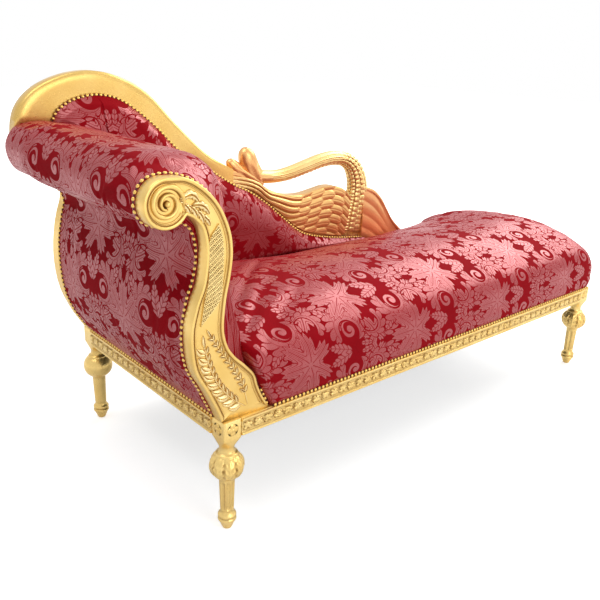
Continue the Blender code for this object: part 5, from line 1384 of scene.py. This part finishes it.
def nail_rows():
    """Every row of nails, each over its strip of painted shadow: name, line and the way that the nails face."""
    rail_top, rear = 0.0035, BACK_FACE + 0.0020
    scroll_foot = np.insert(smooth(mm((107.5, 6), (98, 30), (85, 58)), 30), 1, SCROLL_FRONT + 0.002, axis=1)
    # round the scroll the nails follow the arm's own cloth, just behind the panel
    y = ARM_FIRST + 0.0045
    section = arm_section(y)
    scroll = section[4:int(np.argmax((section[:, 0] > -0.02) & (section[:, 1] > 0.4)))]
    crest_line = smooth(BACK_EDGE_LINE, 400)
    crest_line = crest_line[crest_line[:, 0] > -0.094] - (0, 0.003)
    crest_depth = back_depth(*crest_line.T, np.full(len(crest_line), 0.004))
    section = arm_section(ARM_LAST)
    stile = section[4:int(np.argmax(section[:, 1] > 0.455))] - (0.001, 0)
    rear_loop = np.vstack([smooth(OUTSIDE_LEFT, 60), smooth(BACK_EDGE_LINE, 300)]) - (0, 0.004)
    for name, line, facing in (
            ("front", straight((0.118, -0.0262, rail_top), (LEG_SPAN + 0.016, -0.0262, rail_top), 200), (0, -1, 0.25)),
            ("scroll_foot", scroll_foot, (0.5, -0.8, 0.3)),
            ("foot", straight((SEAT_END + 0.0035, -0.012, rail_top), (SEAT_END + 0.0035, BACK_FACE - 0.012, rail_top),
                              90), (1, 0, 0.25)),
            ("head", straight((-0.0265, SCROLL_REAR + 0.004, rail_top), (-0.0265, LEG_DEPTH - 0.018, rail_top), 90),
             (-1, 0, 0.25)),
            ("scroll", np.insert(scroll, 1, y, axis=1), np.insert(left_of(heading(scroll)), 1, 0, axis=1)),
            ("crest", np.insert(crest_line, 1, FRAME_FRONT - crest_depth, axis=1), (0, -1, 0.35)),
            ("stile", np.insert(stile, 1, ARM_LAST - 0.004, axis=1), (-1, -0.25, 0)),
            ("rear", np.insert(rear_loop, 1, rear, axis=1), (0, 1, 0)),
            ("rear_foot", straight((-0.010, rear, 0.0075), (BREAST_EDGE, rear, 0.0075), 120), (0, 1, 0)),
            ("rear_seat", straight((TAIL_END + 0.05, BACK_FACE - 0.0015, rail_top),
                                   (LEG_SPAN + 0.016, BACK_FACE - 0.0015, rail_top), 30), (0, 1, 0.25))):
        normals = np.broadcast_to(np.array(facing, float), line.shape)
        nails("nails_" + name, line, normals)
        # a dark strip of painted shadow under each row
        shadow_strip("edge_" + name, line, normals)


# Stage, light and camera

def stage():
    """White floor that fades into a white room."""
    reach = 14.0
    mesh = bpy.data.meshes.new("floor")
    mesh.from_pydata([(-reach, -reach, 0), (reach, -reach, 0), (reach, reach, 0), (-reach, reach, 0)], [],
                     [(0, 1, 2, 3)])
    floor = placed("floor", mesh)
    # matt white, that gives soft contact shadows near the feet and lifts to pure white further out
    material, tree, shader = new_finish("white_floor", 0.9, Base_Color=(0.80, 0.80, 0.80, 1),
                                        Emission_Color=(1, 1, 1, 1))
    spot = add(tree, "TexCoord", out="Object")
    away = add(tree, "VectorMath LENGTH", spot, out="Value")
    far = add(tree, "MapRange", away, 1.2, 4.0, interpolation_type="SMOOTHSTEP")
    mirrored, seen = seen_plainly(tree)
    near_glow = add(tree, "Math MULTIPLY", seen, 0.36)
    near_lift = add(tree, "Math ADD", near_glow, 0.24)
    lift = add(tree, "Mix", far, None, near_lift, 1.0)
    wire(shader, "Emission Strength", add(tree, "Math MULTIPLY", mirrored, lift))
    mesh.materials.append(material)
    world = bpy.data.worlds.new("studio")
    bpy.context.scene.world = world
    world.use_nodes = True
    background = world.node_tree.nodes["Background"]
    wire(background, "Color", (1, 1, 1, 1))
    wire(background, "Strength",
         add(world.node_tree, "MapRange", seen_plainly(world.node_tree)[0], 0.0, 1.0, 0.44, 1.0))


def seen_plainly(tree):
    """1 for what the camera sees in itself or in metal or glass, and 1 for what it sees in itself."""
    path = add(tree, "LightPath").node.outputs
    first = add(tree, "Math MAXIMUM", path["Is Camera Ray"], path["Is Glossy Ray"])
    return add(tree, "Math MAXIMUM", first, path["Is Transmission Ray"]), path["Is Camera Ray"]


def lamp(name, at, target, size, power, tint=(1, 1, 1)):
    """Soft rectangular light, turned towards a place."""
    data = bpy.data.lights.new(name, "AREA")
    data.energy = power
    data.shape = "RECTANGLE"
    data.size, data.size_y = size
    data.color = tint
    item = placed(name, data)
    item.location = at
    item.rotation_euler = (Vector(target) - Vector(at)).to_track_quat("-Z", "Y").to_euler()


def camera():
    """Seen from beyond the head end, a little above the crest."""
    data = bpy.data.cameras.new("camera")
    data.sensor_width = 36.0
    data.lens = 42.522
    data.clip_end = 60
    item = placed("camera", data)
    right = Vector((0.75978983, -0.64936378, 0.03234336))
    down = Vector((-0.20176092, -0.28277694, -0.93772583))
    ahead = Vector((0.61807115, 0.70594892, -0.34586728))
    turn = Matrix((right, -down, -ahead)).transposed()
    item.matrix_world = Matrix.Translation((-1.5559, -1.5513, 1.1458)) @ turn.to_4x4()
    bpy.context.scene.camera = item


def main():
    bpy.context.scene.view_settings.view_transform = "Standard"
    camera()
    stage()
    lamp("window", (4.4, 0.2, 3.8), (0.2, 0.0, 0.3), (4.6, 3.4), 265.0, (1.0, 0.98, 0.95))
    lamp("skylight", (-1.6, 0.4, 4.2), (-0.8, 0.2, 0.5), (2.4, 2.4), 55.0)
    lamp("fill", (0.0, -4.0, 2.0), (0.0, 0.0, 0.4), (2.6, 2.6), 60.0, (0.98, 0.99, 1.0))
    for name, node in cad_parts.items():
        finish = gold_leaf
        if name.startswith(("brace_", "stretcher_", "back_post", "back_tack", "arm_rail", "arm_roll")):
            finish = beech
        if name.startswith(("webbing", "seat_hessian")):
            finish = jute
        for slot in node.material_slots:
            slot.material = finish
    seat, arm, back = seat_cushion(), arm_cushion(), back_cushion()
    outside, dust = outside_back(), dust_cloth()
    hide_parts("seat_cover", "seat_foam")
    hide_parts("arm_cover", "arm_stuffing")
    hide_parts("back_cover", "back_stuffing")
    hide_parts("back_outside_cover")
    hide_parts("dust_cover")
    top, panel = crest(), scroll_panel()
    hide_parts("crest_rail")
    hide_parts("arm_scroll_front")
    for item in (top, panel, carved_volute(), scroll_sprays(), scroll_diaper(), *swan(), *legs(), *rail_bands()):
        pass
    nail_rows()


main()
